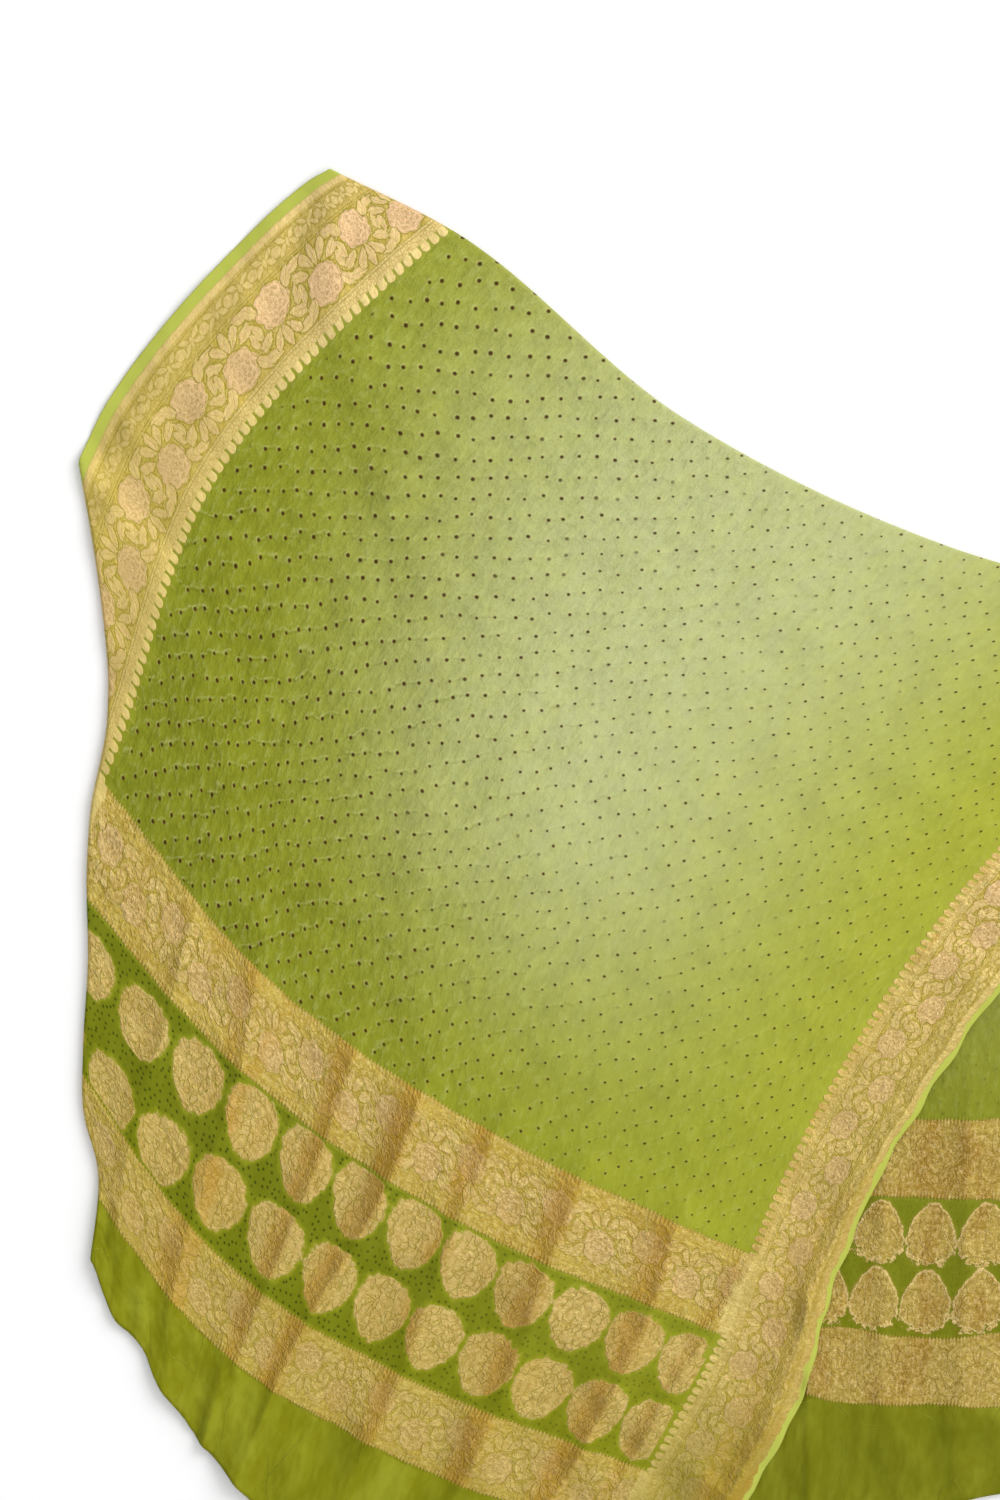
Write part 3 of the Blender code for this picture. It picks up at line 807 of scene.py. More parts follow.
class Finish(NodeTree):
    """One material: its node tree, its shader and the woven coordinates it is drawn in."""

    def __init__(self, name, reverse):
        self.reverse = reverse
        self.material = bpy.data.materials.new(name)
        self.material.use_nodes = True
        super().__init__(self.material.node_tree)
        self.shader = self.nodes["Principled BSDF"]
        woven = self.node("ShaderNodeUVMap", {"uv_map": "woven"})
        place = self.node("ShaderNodeSeparateXYZ", {}, {0: woven.outputs[0]})
        self.across = Value(self, place.outputs[0])
        self.along = Value(self, place.outputs[1])
        self.from_selvage = self.smaller(self.across, CLOTH_WIDTH - self.across)
        self.from_hem = self.smaller(self.along, CLOTH_LENGTH - self.along)
        # How much painted shade the gold takes, read from each point
        shaded_by_paint = self.node("ShaderNodeAttribute", {"attribute_name": "shaded_by_paint"})
        self.shaded_by_paint = Value(self, shaded_by_paint.outputs[2])

    def speckle(self, across_scale, along_scale, detail=1.0, roughness=0.5):
        """Smooth noise from 0 to 1 over the cloth, so many spots to the metre each way."""
        place = self.node("ShaderNodeCombineXYZ", {}, {0: self.across * across_scale,
                                                       1: self.along * along_scale})
        noise = self.node("ShaderNodeTexNoise", {"noise_dimensions": "2D"},
                          {"Vector": place.outputs[0], "Scale": 1.0, "Detail": detail,
                           "Roughness": roughness})
        return Value(self, noise.outputs[0])

    def noise(self, scale, detail=1.0, roughness=0.5):
        """Smooth noise over the cloth from about -0.5 to 0.5, with `scale` spots to the metre."""
        return self.speckle(scale, scale, detail, roughness) - 0.5

    def patches(self, kind):
        """A mask of uneven patches: smooth noise, cut off below `start` and full above `end`."""
        noise = self.speckle(kind.across_scale, kind.along_scale, kind.detail, kind.roughness)
        return self.climb(noise, kind.start, kind.end)

    def cracks(self, across_size, along_size, bend=0.0):
        """Distance from a net of cracks between uneven cells, as a share of a cell's size.

        Scattered points each take the land nearest to them, and the cracks are the borders between.
        """
        place = self.node("ShaderNodeCombineXYZ", {}, {0: self.across / across_size + bend,
                                                       1: self.along / along_size + bend})
        cells = self.node("ShaderNodeTexVoronoi", {"voronoi_dimensions": "2D",
                                                   "feature": "DISTANCE_TO_EDGE"},
                          {"Vector": place.outputs[0], "Scale": 1.0})
        return Value(self, cells.outputs[0])

    def lattice(self, first, second, jitter):
        """Where a place lies in its lattice cell, as two offsets from the cell's drawn point.

        Rounding gives the cell, and what is left gives the place in it.  A random number that belongs
        to the cell moves its point by up to half the jitter, and another is returned beside it.
        """
        cells = [self.math("ROUND", first), self.math("ROUND", second)]
        place = self.node("ShaderNodeCombineXYZ", {}, {0: cells[0], 1: cells[1]})
        drawn = self.node("ShaderNodeTexWhiteNoise", {"noise_dimensions": "2D"},
                          {"Vector": place.outputs[0]})
        split = self.node("ShaderNodeSeparateXYZ", {}, {0: drawn.outputs[1]})
        offsets = []
        for axis, value in enumerate((first, second)):
            moved = (Value(self, split.outputs[axis]) - 0.5) * jitter
            offsets.append(value - cells[axis] + moved)
        return offsets[0], offsets[1], Value(self, split.outputs[2])


# %% A colour as a dyer sees it
def dye(red, green, blue):
    """A colour as seen on a screen, from 0 to 255, as the linear colour that a shader takes.

    Each share of 255 plus 0.055, over 1.055, is raised to the power of 2.4.
    """
    return (*(((share / 255 + 0.055) / 1.055) ** 2.4 for share in (red, green, blue)), 1.0)


print("a mid green is", [round(share, 2) for share in dye(125, 130, 30)[:3]], "as a linear colour")

# %% [markdown]
# ## The dye
#
# The georgette was dyed in shades that run into each other: deep leaf green at the left border and the
# pallu, a pale greyed green over the middle, a lighter yellow green toward the right border.  Each
# shade change is a soft S over the woven coordinates, and slow noise keeps its edge uneven, as dye
# creeping through wet cloth leaves it.

# %% Shades of the ground
DEEP = dye(125, 130, 30)
FRESH = dye(158, 162, 46)
PALE = dye(183, 187, 132)
END_GREEN = dye(124, 124, 5)
# A paler cloud tone of the dye, also used as the painted highlight of the plain ends
CLOUD_TONE_AND_HIGHLIGHT = dye(190, 196, 66)
WRONG_SIDE = dye(72, 74, 16)
WRONG_SIDE_SHARE = 0.30
# Painted highlight and painted shade for the crepe, and for the ridges and troughs between the dots
CREPE_HIGHLIGHT = dye(214, 222, 150)
CREPE_SHADE = dye(84, 92, 6)
CREEP_SCALE = 9.0
FRESH_ACROSS = 1.35
FRESH_ALONG = 1.5
FRESH_FROM_LEFT = 0.25
FRESH_FROM_HEM = 0.40
CREEP_OF_FRESH = 0.25
CREEP_OF_SLANT = 0.10
PALE_SLANT = 0.785
PALE_OVER_SLANT = (0.60, 1.04)
PALE_FROM_LEFT = (0.00, 0.41)
PALE_FROM_HEM = (0.33, 0.63)
PALE_ENDS_ACROSS = (0.47, 0.78)
PALE_LOST_AT_RIGHT = 0.95
END_GREEN_TO = (0.090, 0.400)
END_GREEN_SHARE = 0.85
CLOUDS = Patches(70.0, 40.0, 3.0, 0.65, 0.30, 0.72)
CLOUD_SHARE = 0.14
CREPE_HIGHLIGHT_RANGE = (0.50, 0.72)
CREPE_SHADE_RANGE = (0.50, 0.28)


def ground_colour(finish):
    """The dyed ground's colour.

    Freshness grows in a straight line along and across the cloth.  Paleness is the product of four
    soft steps: one over a slanting line, one from each border and one from the banded end.
    """
    creep = finish.noise(CREEP_SCALE, 2.0)
    fresh = (finish.across - FRESH_FROM_LEFT) * FRESH_ACROSS
    fresh = fresh + (finish.from_hem - FRESH_FROM_HEM) * FRESH_ALONG + creep * CREEP_OF_FRESH
    slant = finish.across + finish.from_hem * PALE_SLANT + creep * CREEP_OF_SLANT
    pale = finish.climb(slant, *PALE_OVER_SLANT) * finish.climb(finish.across, *PALE_FROM_LEFT)
    pale = pale * finish.climb(finish.from_hem, *PALE_FROM_HEM)
    pale = pale * (1 - finish.climb(finish.across, *PALE_ENDS_ACROSS) * PALE_LOST_AT_RIGHT)
    colour = finish.mix(finish.math("ADD", fresh, 0.0, clamp=True), DEEP, FRESH)
    at_end = 1 - finish.climb(finish.from_hem, *END_GREEN_TO)
    cloudy = finish.patches(CLOUDS)
    return finish.coated(colour, (pale, PALE), (at_end * END_GREEN_SHARE, END_GREEN),
                         (cloudy * CLOUD_SHARE, CLOUD_TONE_AND_HIGHLIGHT),
                         (WRONG_SIDE_SHARE if finish.reverse else 0.0, WRONG_SIDE))


def crepe_painted_light(finish, colour, creases, share, crest):
    """The ground's colour with its crepe painted in: painted highlight along the crests, painted shade in
    the furrows.

    Thin cloth over a pale floor looks darker where it stands on edge, and no bump map shows that.
    """
    return finish.coated(colour, (finish.climb(creases, *CREPE_HIGHLIGHT_RANGE) * share, crest),
                         (finish.climb(creases, *CREPE_SHADE_RANGE) * share, CREPE_SHADE))


print(f"pale from {PALE_FROM_HEM[1]:.2f} m above the hem, and up to {PALE_ENDS_ACROSS[0]:.2f} m across")

# %% [markdown]
# ## Tied dots
#
# The tyer works along a lattice that stands at forty-five degrees to the threads.  Its rows lie about
# thirteen millimetres apart one way and sixteen the other, and closer toward the right border.  No two
# dots are quite alike: each is drawn a little off its place by a number that belongs to its own cell.
# The bound point keeps a dark speck with a pale crescent, and the cloth around it puckers.  Fine
# troughs run from dot to dot along one way of the lattice.

# %% Dots and their crescents
ROW_PITCH = 13.4 * MM
DOT_PITCH = 16.5 * MM
ROOT_2 = math.sqrt(2)
SWAY_SCALE = 7.0
SWAY = 0.9
CLOSER_PAST = 0.60
CLOSER_ACROSS = 11.0
CLOSER_BELOW = 0.55
CLOSER_ALONG = 9.0
JITTER = 0.30
DOT_RADIUS = 1.68 * MM
DOT_SOFT = 1.0 * MM
LARGER_AT_LEFT = 1.05
SMALLER_AT_RIGHT = 0.28
SMALLER_AS_DRAWN = 0.5 * MM
WEAKEST = 0.14
STRONGER_AT_LEFT = 0.20
FULL_STRENGTH = 0.40
CRESCENT_RADIUS = 2.6 * MM
CRESCENT_WIDTH = 0.6 * MM
CRESCENT_SOFT = 1.2 * MM
CRESCENT_SIDE = (0.02, -0.16)
CRESCENT_LOST_AT_RIGHT = 0.7
FAINT_RIGHT = (0.24, 0.60)
FAINT_LEVEL = 0.55
FAINT_SLANT = 0.30


def dot_lattice(finish):
    """Two counts that are whole at each dot: the sum and the difference of the woven coordinates.

    Each is taken over its pitch and the root of two.  Slow noise sways the rows, and two ramps bring
    the dots closer at the right and toward the bands.
    """
    sway = finish.noise(SWAY_SCALE) * SWAY
    first = (finish.across + finish.along) / (ROW_PITCH * ROOT_2) + sway
    second = (finish.across - finish.along) / (DOT_PITCH * ROOT_2) + sway
    second = second + finish.larger(finish.across - CLOSER_PAST, 0.0) * CLOSER_ACROSS
    second = second + finish.larger(CLOSER_BELOW - finish.along, 0.0) * CLOSER_ALONG
    return first, second


def dots_and_crescents(finish, u, v, drawn):
    """Masks of the tied dots and of their pale crescents, and the distance from the dot's middle.

    The dots are smaller and fainter toward the right, and a number drawn for each sets its size and
    strength.  A crescent is a ring, kept on one side of its dot.
    """
    radius = finish.reach(u * ROW_PITCH, v * DOT_PITCH)
    right = finish.climb(finish.across + (finish.along - FAINT_LEVEL) * FAINT_SLANT, *FAINT_RIGHT)
    strength = finish.climb(drawn + WEAKEST + STRONGER_AT_LEFT * (1 - right), 0.0, FULL_STRENGTH)
    size = DOT_RADIUS * (LARGER_AT_LEFT - SMALLER_AT_RIGHT * right) - drawn * SMALLER_AS_DRAWN
    dot = finish.inside(radius - size, DOT_SOFT) * strength
    ring = finish.line(radius - CRESCENT_RADIUS, CRESCENT_WIDTH, CRESCENT_SOFT)
    crescent = ring * finish.climb(u + v, *CRESCENT_SIDE) * (1 - right * CRESCENT_LOST_AT_RIGHT)
    return dot, crescent, radius


print(f"rows of dots {ROW_PITCH / MM:.1f} mm apart, and {DOT_PITCH / MM:.1f} mm from dot to dot")

# %% The puckered ground around the dots
PUCKER_RADIUS = 4.5 * MM
PUCKER_DEPTH = 0.42 * MM
TROUGH_HALF = 0.4 * MM
TROUGH_SOFT = 1.8 * MM
TROUGH_DEPTH = 0.50 * MM
TROUGHS_FADE = (0.82, 0.56)
TROUGHS_AT_TOP = 0.30
RIDGE_ASIDE = 0.15
RIDGE_SOFT = 2.0 * MM
WANDER_SCALE = 75.0
WANDER = 0.44
RIPPLE_DEPTH = 0.30 * MM
RIPPLE_WANDER = 0.9
CREPE_NOISE = (170.0, 84.0, 4.0, 0.66)
CREPE_DEPTH = 2.7 * MM
TAUT_RIGHT = (0.30, 0.62)
TAUT_SHARE = 0.66
TROUGH_PATCHES = Patches(48.0, 48.0, 2.0, 0.5, 0.42, 0.64)


def tied_dots(finish):
    """Masks of the dots, their crescents, troughs and ridges, the crepe, and the height in metres.

    The ripples between the rows are a cosine, strongest on the left of the cloth.  A ridge runs
    beside each trough, and both come and go in patches.
    """
    first, second = dot_lattice(finish)
    u, v, drawn = finish.lattice(first, second, JITTER)
    dot, crescent, radius = dots_and_crescents(finish, u, v, drawn)
    wander = finish.noise(WANDER_SCALE) * WANDER
    low_down = finish.climb(finish.along, *TROUGHS_FADE)
    patchy = finish.patches(TROUGH_PATCHES) * (TROUGHS_AT_TOP + (1 - TROUGHS_AT_TOP) * low_down)
    trough = finish.inside(abs(v + wander) * DOT_PITCH - TROUGH_HALF, TROUGH_SOFT) * patchy
    ridge = finish.inside(abs(v + wander + RIDGE_ASIDE) * DOT_PITCH - TROUGH_HALF, RIDGE_SOFT) * patchy
    ripple = finish.math("COSINE", (second + wander * RIPPLE_WANDER) * (2 * math.pi))
    loose = 1 - finish.climb(finish.across, *TAUT_RIGHT) * TAUT_SHARE
    crepe = finish.speckle(*CREPE_NOISE)
    height = (ripple * RIPPLE_DEPTH + crepe * CREPE_DEPTH + (ridge - trough) * TROUGH_DEPTH) * loose
    height = height + (1 - finish.climb(radius, 0.0, PUCKER_RADIUS)) * PUCKER_DEPTH
    return dot, crescent, trough * loose, ridge * loose, crepe, height


print(f"crepe {CREPE_DEPTH / MM:.1f} mm deep, troughs {TROUGH_DEPTH / MM:.1f} mm")

# %% [markdown]
# ## Woven gold
#
# The borders and bands are zari: gold thread floated over the ground wherever the pattern asks for it.
# The motifs are roses, leaves and buds, packed edge to edge with only a thin line of green left around
# each.  A leaf is drawn as a distance: positive outside, negative inside and 0 on its outline.  The
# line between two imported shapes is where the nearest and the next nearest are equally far.

# %% Leaves, roses and teeth, as distances
PETAL_WAVE = 0.10
PETAL_RING_WAVE = 0.3
PETAL_LINE_WAVE = 0.55
PETAL_RING_TURN = 1.9
PETAL_LINE = (0.20, 0.16)
TOOTH_TIP_GAP = 0.1 * MM


def leaf(finish, u, v, shape):
    """Distance from a leaf's outline, and distance from its midrib.

    The first is the second less the leaf's half width, which shrinks with the square of the distance
    along the midrib, to 0 at both tips.
    """
    cosine = math.cos(math.radians(shape.turn))
    sine = math.sin(math.radians(shape.turn))
    middle_along = (shape.u * cosine + shape.v * sine) * MM
    middle_aside = (shape.v * cosine - shape.u * sine) * MM
    rib = finish.math("MULTIPLY_ADD", u, cosine, finish.math("MULTIPLY_ADD", v, sine, -middle_along))
    aside = finish.math("MULTIPLY_ADD", u, -sine, finish.math("MULTIPLY_ADD", v, cosine, -middle_aside))
    narrowing = shape.half_width / shape.half_length ** 2 / MM
    aside = abs(aside)
    return finish.math("MULTIPLY_ADD", rib * rib, narrowing, aside) - shape.half_width * MM, aside


def rose(finish, u, v, radius, petals, rings):
    """Distance from a rose's scalloped outline, and a mask of the lines between its petals.

    Each ring of petals is bounded by a line that waves with the angle around the rose, and the wave
    of every ring is turned against its neighbour's.
    """
    reach = finish.reach(u, v)
    angle = finish.math("ARCTAN2", v, u)
    wave = abs(finish.math("COSINE", angle * (petals / 2)))
    ring = finish.math("FLOOR", reach * (rings / radius) + wave * PETAL_RING_WAVE)
    turned = abs(finish.math("COSINE", angle * (petals / 2 + 0.5) + ring * PETAL_RING_TURN))
    between = finish.math("FRACT", reach * (rings / radius) + turned * PETAL_LINE_WAVE)
    lines = finish.inside(between - PETAL_LINE[0], PETAL_LINE[1])
    return reach - radius * (1 - PETAL_WAVE + wave * PETAL_WAVE), lines


def teeth(finish, run, reach, pitch, length, half_width):
    """Distance from a row of round-tipped teeth, one every pitch, that reach out from a base line.

    The sides are straight, and the tip is a half circle: past its middle, the half width is the root
    of one less the square of the share of the tip.
    """
    aside = abs(finish.math("FRACT", run / pitch) - 0.5) * pitch
    share = finish.larger((reach - (length - half_width)) / half_width, 0.0)
    shape = finish.math("SQRT", finish.larger(1 - share * share, 0.0))
    return aside + TOOTH_TIP_GAP - shape * half_width


# %% The vine of roses, charted: places and sizes in millimetres, turns in degrees
HALF_REPEAT = 46 * MM
ROSE_OFFSET = -9.5 * MM
ROSE_RADIUS = 16.6 * MM
PETALS = 8
PETAL_RINGS = 4
BEND = 3.0 * MM
JAG = 2.6 * MM
MIDRIB_ENDS = 1.8 * MM
FAR_AWAY = 0.05
Leaf = namedtuple("Leaf", "u v turn half_length half_width")
VINE_LEAVES = (
    Leaf(0.0, 17.6, 90, 10.0, 3.9),
    Leaf(-8.6, 16.4, 124, 10.0, 3.7),
    Leaf(8.8, 17.0, 56, 10.0, 3.7),
    Leaf(-18.0, 9.6, 152, 9.6, 4.2),
    Leaf(18.2, 10.2, 28, 9.6, 4.2),
    Leaf(-18.4, 21.6, 16, 9.4, 4.2),
    Leaf(18.8, 22.2, -14, 9.4, 4.2),
    Leaf(-21.0, -2.6, 78, 9.0, 3.8),
    Leaf(21.0, -2.2, -78, 9.0, 3.8),
    Leaf(-18.6, -18.4, 52, 10.6, 4.6),
    Leaf(18.8, -19.0, -52, 10.6, 4.6),
)


def vine(finish, run, rise, scale):
    """Distances from the nearest shape, from the next nearest and from the rose, and drawn lines.

    The vine repeats by a glide: every half repeat it is turned over, so a rose lies high and then
    low.  The run is cut into half repeats, and the rise changes its sign in every second one.  Noise
    bends both, as a weaver's uneven beat does.  The lines are those between the rose's petals and
    the midribs of the leaves.
    """
    run = run / scale
    cell = finish.math("ROUND", run / HALF_REPEAT)
    flip = 1 - finish.math("FLOORED_MODULO", cell, 2.0) * 2
    u = run - cell * HALF_REPEAT + finish.noise(105.0) * BEND
    v = rise / scale * flip + finish.noise(95.0) * BEND
    bloom, petal_lines = rose(finish, u, v - ROSE_OFFSET, ROSE_RADIUS, PETALS, PETAL_RINGS)
    nearest = bloom
    following = FAR_AWAY
    midribs = FAR_AWAY
    for shape in VINE_LEAVES:
        distance, aside = leaf(finish, u, v, shape)
        following = finish.smaller(following, finish.larger(nearest, distance))
        nearest = finish.smaller(nearest, distance)
        midribs = finish.smaller(midribs, finish.larger(aside, distance + MIDRIB_ENDS))
    petal_lines = petal_lines * finish.inside(bloom, 1.0 * MM)
    lines = finish.larger(petal_lines, finish.inside(midribs - 0.2 * MM, 0.8 * MM))
    jagged = finish.noise(480.0, 2.0, 0.6) * JAG
    return (nearest + jagged) * scale, following * scale, bloom * scale, lines


print(len(VINE_LEAVES), "leaves around each rose, in cells of", HALF_REPEAT / MM, "mm")

# %% Colours of the gold
# The shade tone is the painted shade of the gold's crinkle
GoldTones = namedtuple("GoldTones", "ground leaf rose outline shade")
RIGHT_TONES = GoldTones(dye(191, 168, 76), dye(223, 197, 130), dye(229, 192, 146), dye(138, 130, 26),
                        dye(158, 118, 42))
WRONG_TONES = GoldTones(dye(168, 146, 64), dye(184, 160, 82), dye(176, 152, 74), dye(130, 106, 22),
                        dye(120, 88, 20))
TOOTH = dye(231, 210, 138)
SELVAGE = dye(176, 183, 78)
# Pale gold: the flowers' rim and the wrong side's flecks, and the painted highlight of the crinkle
PALE_GOLD_AND_HIGHLIGHT = dye(234, 208, 148)
# Brown gold: the tone of the end's brown patches, and of the painted shade down the pleats' flanks
BROWN_GOLD_AND_SHADE = dye(184, 136, 40)
WRONG_SIDE_BROWN = dye(150, 112, 34)
CRACK_SHARE = 0.07
CRACK_SOFT = 0.11
EDGE_SOFT = 0.9 * MM
LINE_SHARE = 0.46
LINE_DEPTH = 0.30 * MM
LINE_SWELL = 2.6 * MM
GAP = 0.8 * MM
GAP_SOFT = 1.3 * MM
PACKED_REACH = 0.6 * MM
PACKED_SHARE = 0.90
OUTLINE_ASIDE = 0.7 * MM
OUTLINE_WIDTH = 1.3 * MM
OUTLINE_SOFT = 1.2 * MM
OUTLINE_SHARE = 0.72
WRONG_OUTLINES = 0.40
CRACK_CELL = (7.4 * MM, 6.6 * MM)
CRACK_BEND = 1.5
FILL_MOTTLE = 0.45
SHAPE_MOTTLE = 0.6
CRACK_PATCHES = Patches(60.0, 60.0, 1.0, 0.5, 0.38, 0.60)
MOTTLE = Patches(240.0, 240.0, 2.0, 0.5, 0.36, 0.66)


def gold_tones(finish):
    """The colours of the gold on the side of the cloth that the finish is for."""
    return WRONG_TONES if finish.reverse else RIGHT_TONES


def brocade(finish, run, rise, scale, crackle):
    """Colour and height of the rose vine in gold, with `crackle` of how strong its cracks are.

    Leaves and roses are filled and outlined, and the ground between them is cracked into small cells.
    Lines of two kinds are drawn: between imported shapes, and around a shape that stands free.
    """
    tones = gold_tones(finish)
    nearest, following, bloom, lines = vine(finish, run, rise, scale)
    swell = finish.noise(90.0) * LINE_SWELL
    cracks = finish.cracks(*CRACK_CELL, finish.noise(110.0, 2.0) * CRACK_BEND)
    net = finish.inside(cracks - CRACK_SHARE, CRACK_SOFT) * finish.patches(CRACK_PATCHES)
    mottled = finish.patches(MOTTLE)
    fill = finish.mix(mottled * FILL_MOTTLE, tones.ground, tones.leaf)
    shape_tone = finish.mix(mottled * SHAPE_MOTTLE, tones.leaf, tones.rose)
    colour = finish.coated(fill, (finish.inside(nearest, EDGE_SOFT), shape_tone),
                           (finish.inside(bloom, EDGE_SOFT), tones.rose))
    between = finish.inside(following - nearest - GAP - swell, GAP_SOFT)
    packed = between * finish.inside(nearest - PACKED_REACH, 1 * MM)
    outline = finish.line(nearest - OUTLINE_ASIDE, OUTLINE_WIDTH, OUTLINE_SOFT)
    drawn = finish.larger(outline * OUTLINE_SHARE, packed * PACKED_SHARE)
    drawn = finish.larger(drawn, net * crackle)
    drawn = finish.larger(drawn, lines * LINE_SHARE)
    share = WRONG_OUTLINES if finish.reverse else 1.0
    return finish.mix(drawn * share, colour, tones.outline), drawn * -LINE_DEPTH


print(f"cracks between cells of {CRACK_CELL[0] / MM:.1f} by {CRACK_CELL[1] / MM:.1f} mm")

# %% [markdown]
# ## Crepe, crinkle and gloss
#
# Georgette is woven from hard-twisted yarn, so its face is a fine dry crepe with almost no gloss.  The
# stiff gold cannot shrink with it and crinkles instead, most of all in the loose end.  These are small
# heights that a Bump node turns into slopes.  The dyed ground is rough and not metallic; the gold
# thread is partly metallic, so that it darkens on every slope that turns away from the light.  Slopes
# too small to show are helped by painted highlight and painted shade in the colour.

# %% Put a finish together
GOLD_METAL = 0.50
GOLD_ROUGHNESS = 0.52
CLOTH_ROUGHNESS = 0.90
SPECULAR = 0.10
YARN_NOISE = (640.0, 560.0, 1.0)
YARN_DEPTH = 0.06 * MM
CRUSH_NOISE = (60.0, 80.0, 4.0, 0.66)
CRINKLE_SHADE_HALF = 0.030
CRINKLE_SHADE_SOFT = 0.06
CRINKLE_SHADE_SHARE = 0.13
CRINKLE_LIGHT_NOISE = (200.0, 250.0, 4.0, 0.68)
CRINKLE_HIGHLIGHT = (0.50, 0.64)
CRINKLE_DARKENING = (0.50, 0.36)
CRINKLE_LIGHT_SHARE = 0.04
CRINKLE_LIGHT_PER_CRINKLE = 0.12
PLEAT_SHADE_NOISE = (56.0, 34.0, 3.0, 0.6)
PLEAT_SHADE_EVEN = 0.20
PLEAT_SHADE_PATCHY = 1.6
PLEAT_SHADE_RANGE = (0.10, 1.02)
PLEAT_SHADE_SHARE = 0.50
WORN_AT_HEM = 0.52
WORN_LESS_IN_BANDS = 0.20
WORN_LESS_IN_FIELD = 0.32
BANDS_FROM_HEM = (0.05, 0.30)
FIELD_FROM_HEM = (0.52, 0.84)
HUNG_ACROSS = (0.76, 0.86)
HUNG_FROM_HEM = (0.30, 0.14)
HUNG_SHADE_SHARE = 1.3
OLIVE_WEAR_AND_SHADE = 0.36


def worn_and_shaded_gold(finish, colour, gold):
    """The right side's gold, worn toward its ground tone and showing a little of the green below.

    It is worn most at the hem, less above the bands and least at the top.  The lower end of the
    second border's outer strip, which hangs over and slopes away from the light, is darkened most
    toward olive: painted shade.
    """
    tones = gold_tones(finish)
    worn = WORN_AT_HEM - finish.climb(finish.from_hem, *BANDS_FROM_HEM) * WORN_LESS_IN_BANDS
    worn = worn - finish.climb(finish.from_hem, *FIELD_FROM_HEM) * WORN_LESS_IN_FIELD
    # Painted shade: the hanging strip near the hem darkens toward olive
    hung = finish.climb(finish.across, *HUNG_ACROSS) * finish.climb(finish.from_hem, *HUNG_FROM_HEM)
    return finish.coated(colour, (worn * gold, tones.ground),
                         ((worn + hung * HUNG_SHADE_SHARE) * gold * OLIVE_WEAR_AND_SHADE, tones.outline))


def dress(finish, colour, gold, height, crinkle):
    """Feed the shader: colour, how much gold there is, the pattern's height and the gold's crinkle.

    Crinkled gold gets painted shade in its creases and painted highlight and shade in fine flecks,
    which stand in for crinkle the bump is too weak to show.  It is worn thin, and browned with
    painted shade in patches where the points carry painted shade.
    """
    height = height + finish.speckle(*YARN_NOISE) * YARN_DEPTH
    roughness = CLOTH_ROUGHNESS
    if crinkle:
        tones = gold_tones(finish)
        crush = abs(finish.speckle(*CRUSH_NOISE) - 0.5)
        height = height + crush * gold * (crinkle * MM)
        # Painted shade in the creases of the crinkle
        crinkle_shade = finish.inside(crush - CRINKLE_SHADE_HALF, CRINKLE_SHADE_SOFT) * gold
        # Painted highlight and painted shade in fine flecks over the gold
        crinkle_light = finish.speckle(*CRINKLE_LIGHT_NOISE)
        share = gold * (CRINKLE_LIGHT_SHARE + CRINKLE_LIGHT_PER_CRINKLE * crinkle)
        colour = finish.coated(colour, (crinkle_shade * (CRINKLE_SHADE_SHARE * crinkle), tones.shade),
                               (finish.climb(crinkle_light, *CRINKLE_HIGHLIGHT) * share, PALE_GOLD_AND_HIGHLIGHT),
                               (finish.climb(crinkle_light, *CRINKLE_DARKENING) * share, tones.shade))
        if not finish.reverse:
            colour = worn_and_shaded_gold(finish, colour, gold)
        # Painted shade: the gold is browned in patches where the points carry painted shade
        uneven = finish.speckle(*PLEAT_SHADE_NOISE)
        shaded_brown = finish.climb(finish.shaded_by_paint * (PLEAT_SHADE_EVEN + uneven * PLEAT_SHADE_PATCHY), *PLEAT_SHADE_RANGE)
        colour = finish.mix(shaded_brown * gold * PLEAT_SHADE_SHARE, colour, BROWN_GOLD_AND_SHADE)
        roughness = CLOTH_ROUGHNESS + gold * (GOLD_ROUGHNESS - CLOTH_ROUGHNESS)
        finish.feed(finish.shader.inputs["Metallic"], gold * GOLD_METAL)
    bump = finish.node("ShaderNodeBump", {}, {"Height": height, "Strength": 1.0, "Distance": 1.0})
    finish.feed(finish.shader.inputs["Base Color"], colour)
    finish.feed(finish.shader.inputs["Roughness"], roughness)
    finish.feed(finish.shader.inputs["Normal"], bump.outputs[0])
    finish.feed(finish.shader.inputs["Specular IOR Level"], SPECULAR)


print("roughness of the gold", GOLD_ROUGHNESS, "and of the dyed ground", CLOTH_ROUGHNESS)

# %% The dotted field
DOT = dye(66, 34, 14)
CRESCENT = dye(222, 214, 150)
CLEAR_OF_BORDER = (BORDER_WIDTH + 6 * MM, BORDER_WIDTH + 8 * MM)
SHOWS_THROUGH = 0.30
CREPE_LIGHT_SHARE = 0.13
TROUGH_SHADE_SHARE = 0.38
RIDGE_HIGHLIGHT_SHARE = 0.26
CRESCENT_SHARE = 0.34
DOT_SHARE = 0.94
CREPE_FADES = (0.40, 0.72)
CREPE_LOST = 0.5


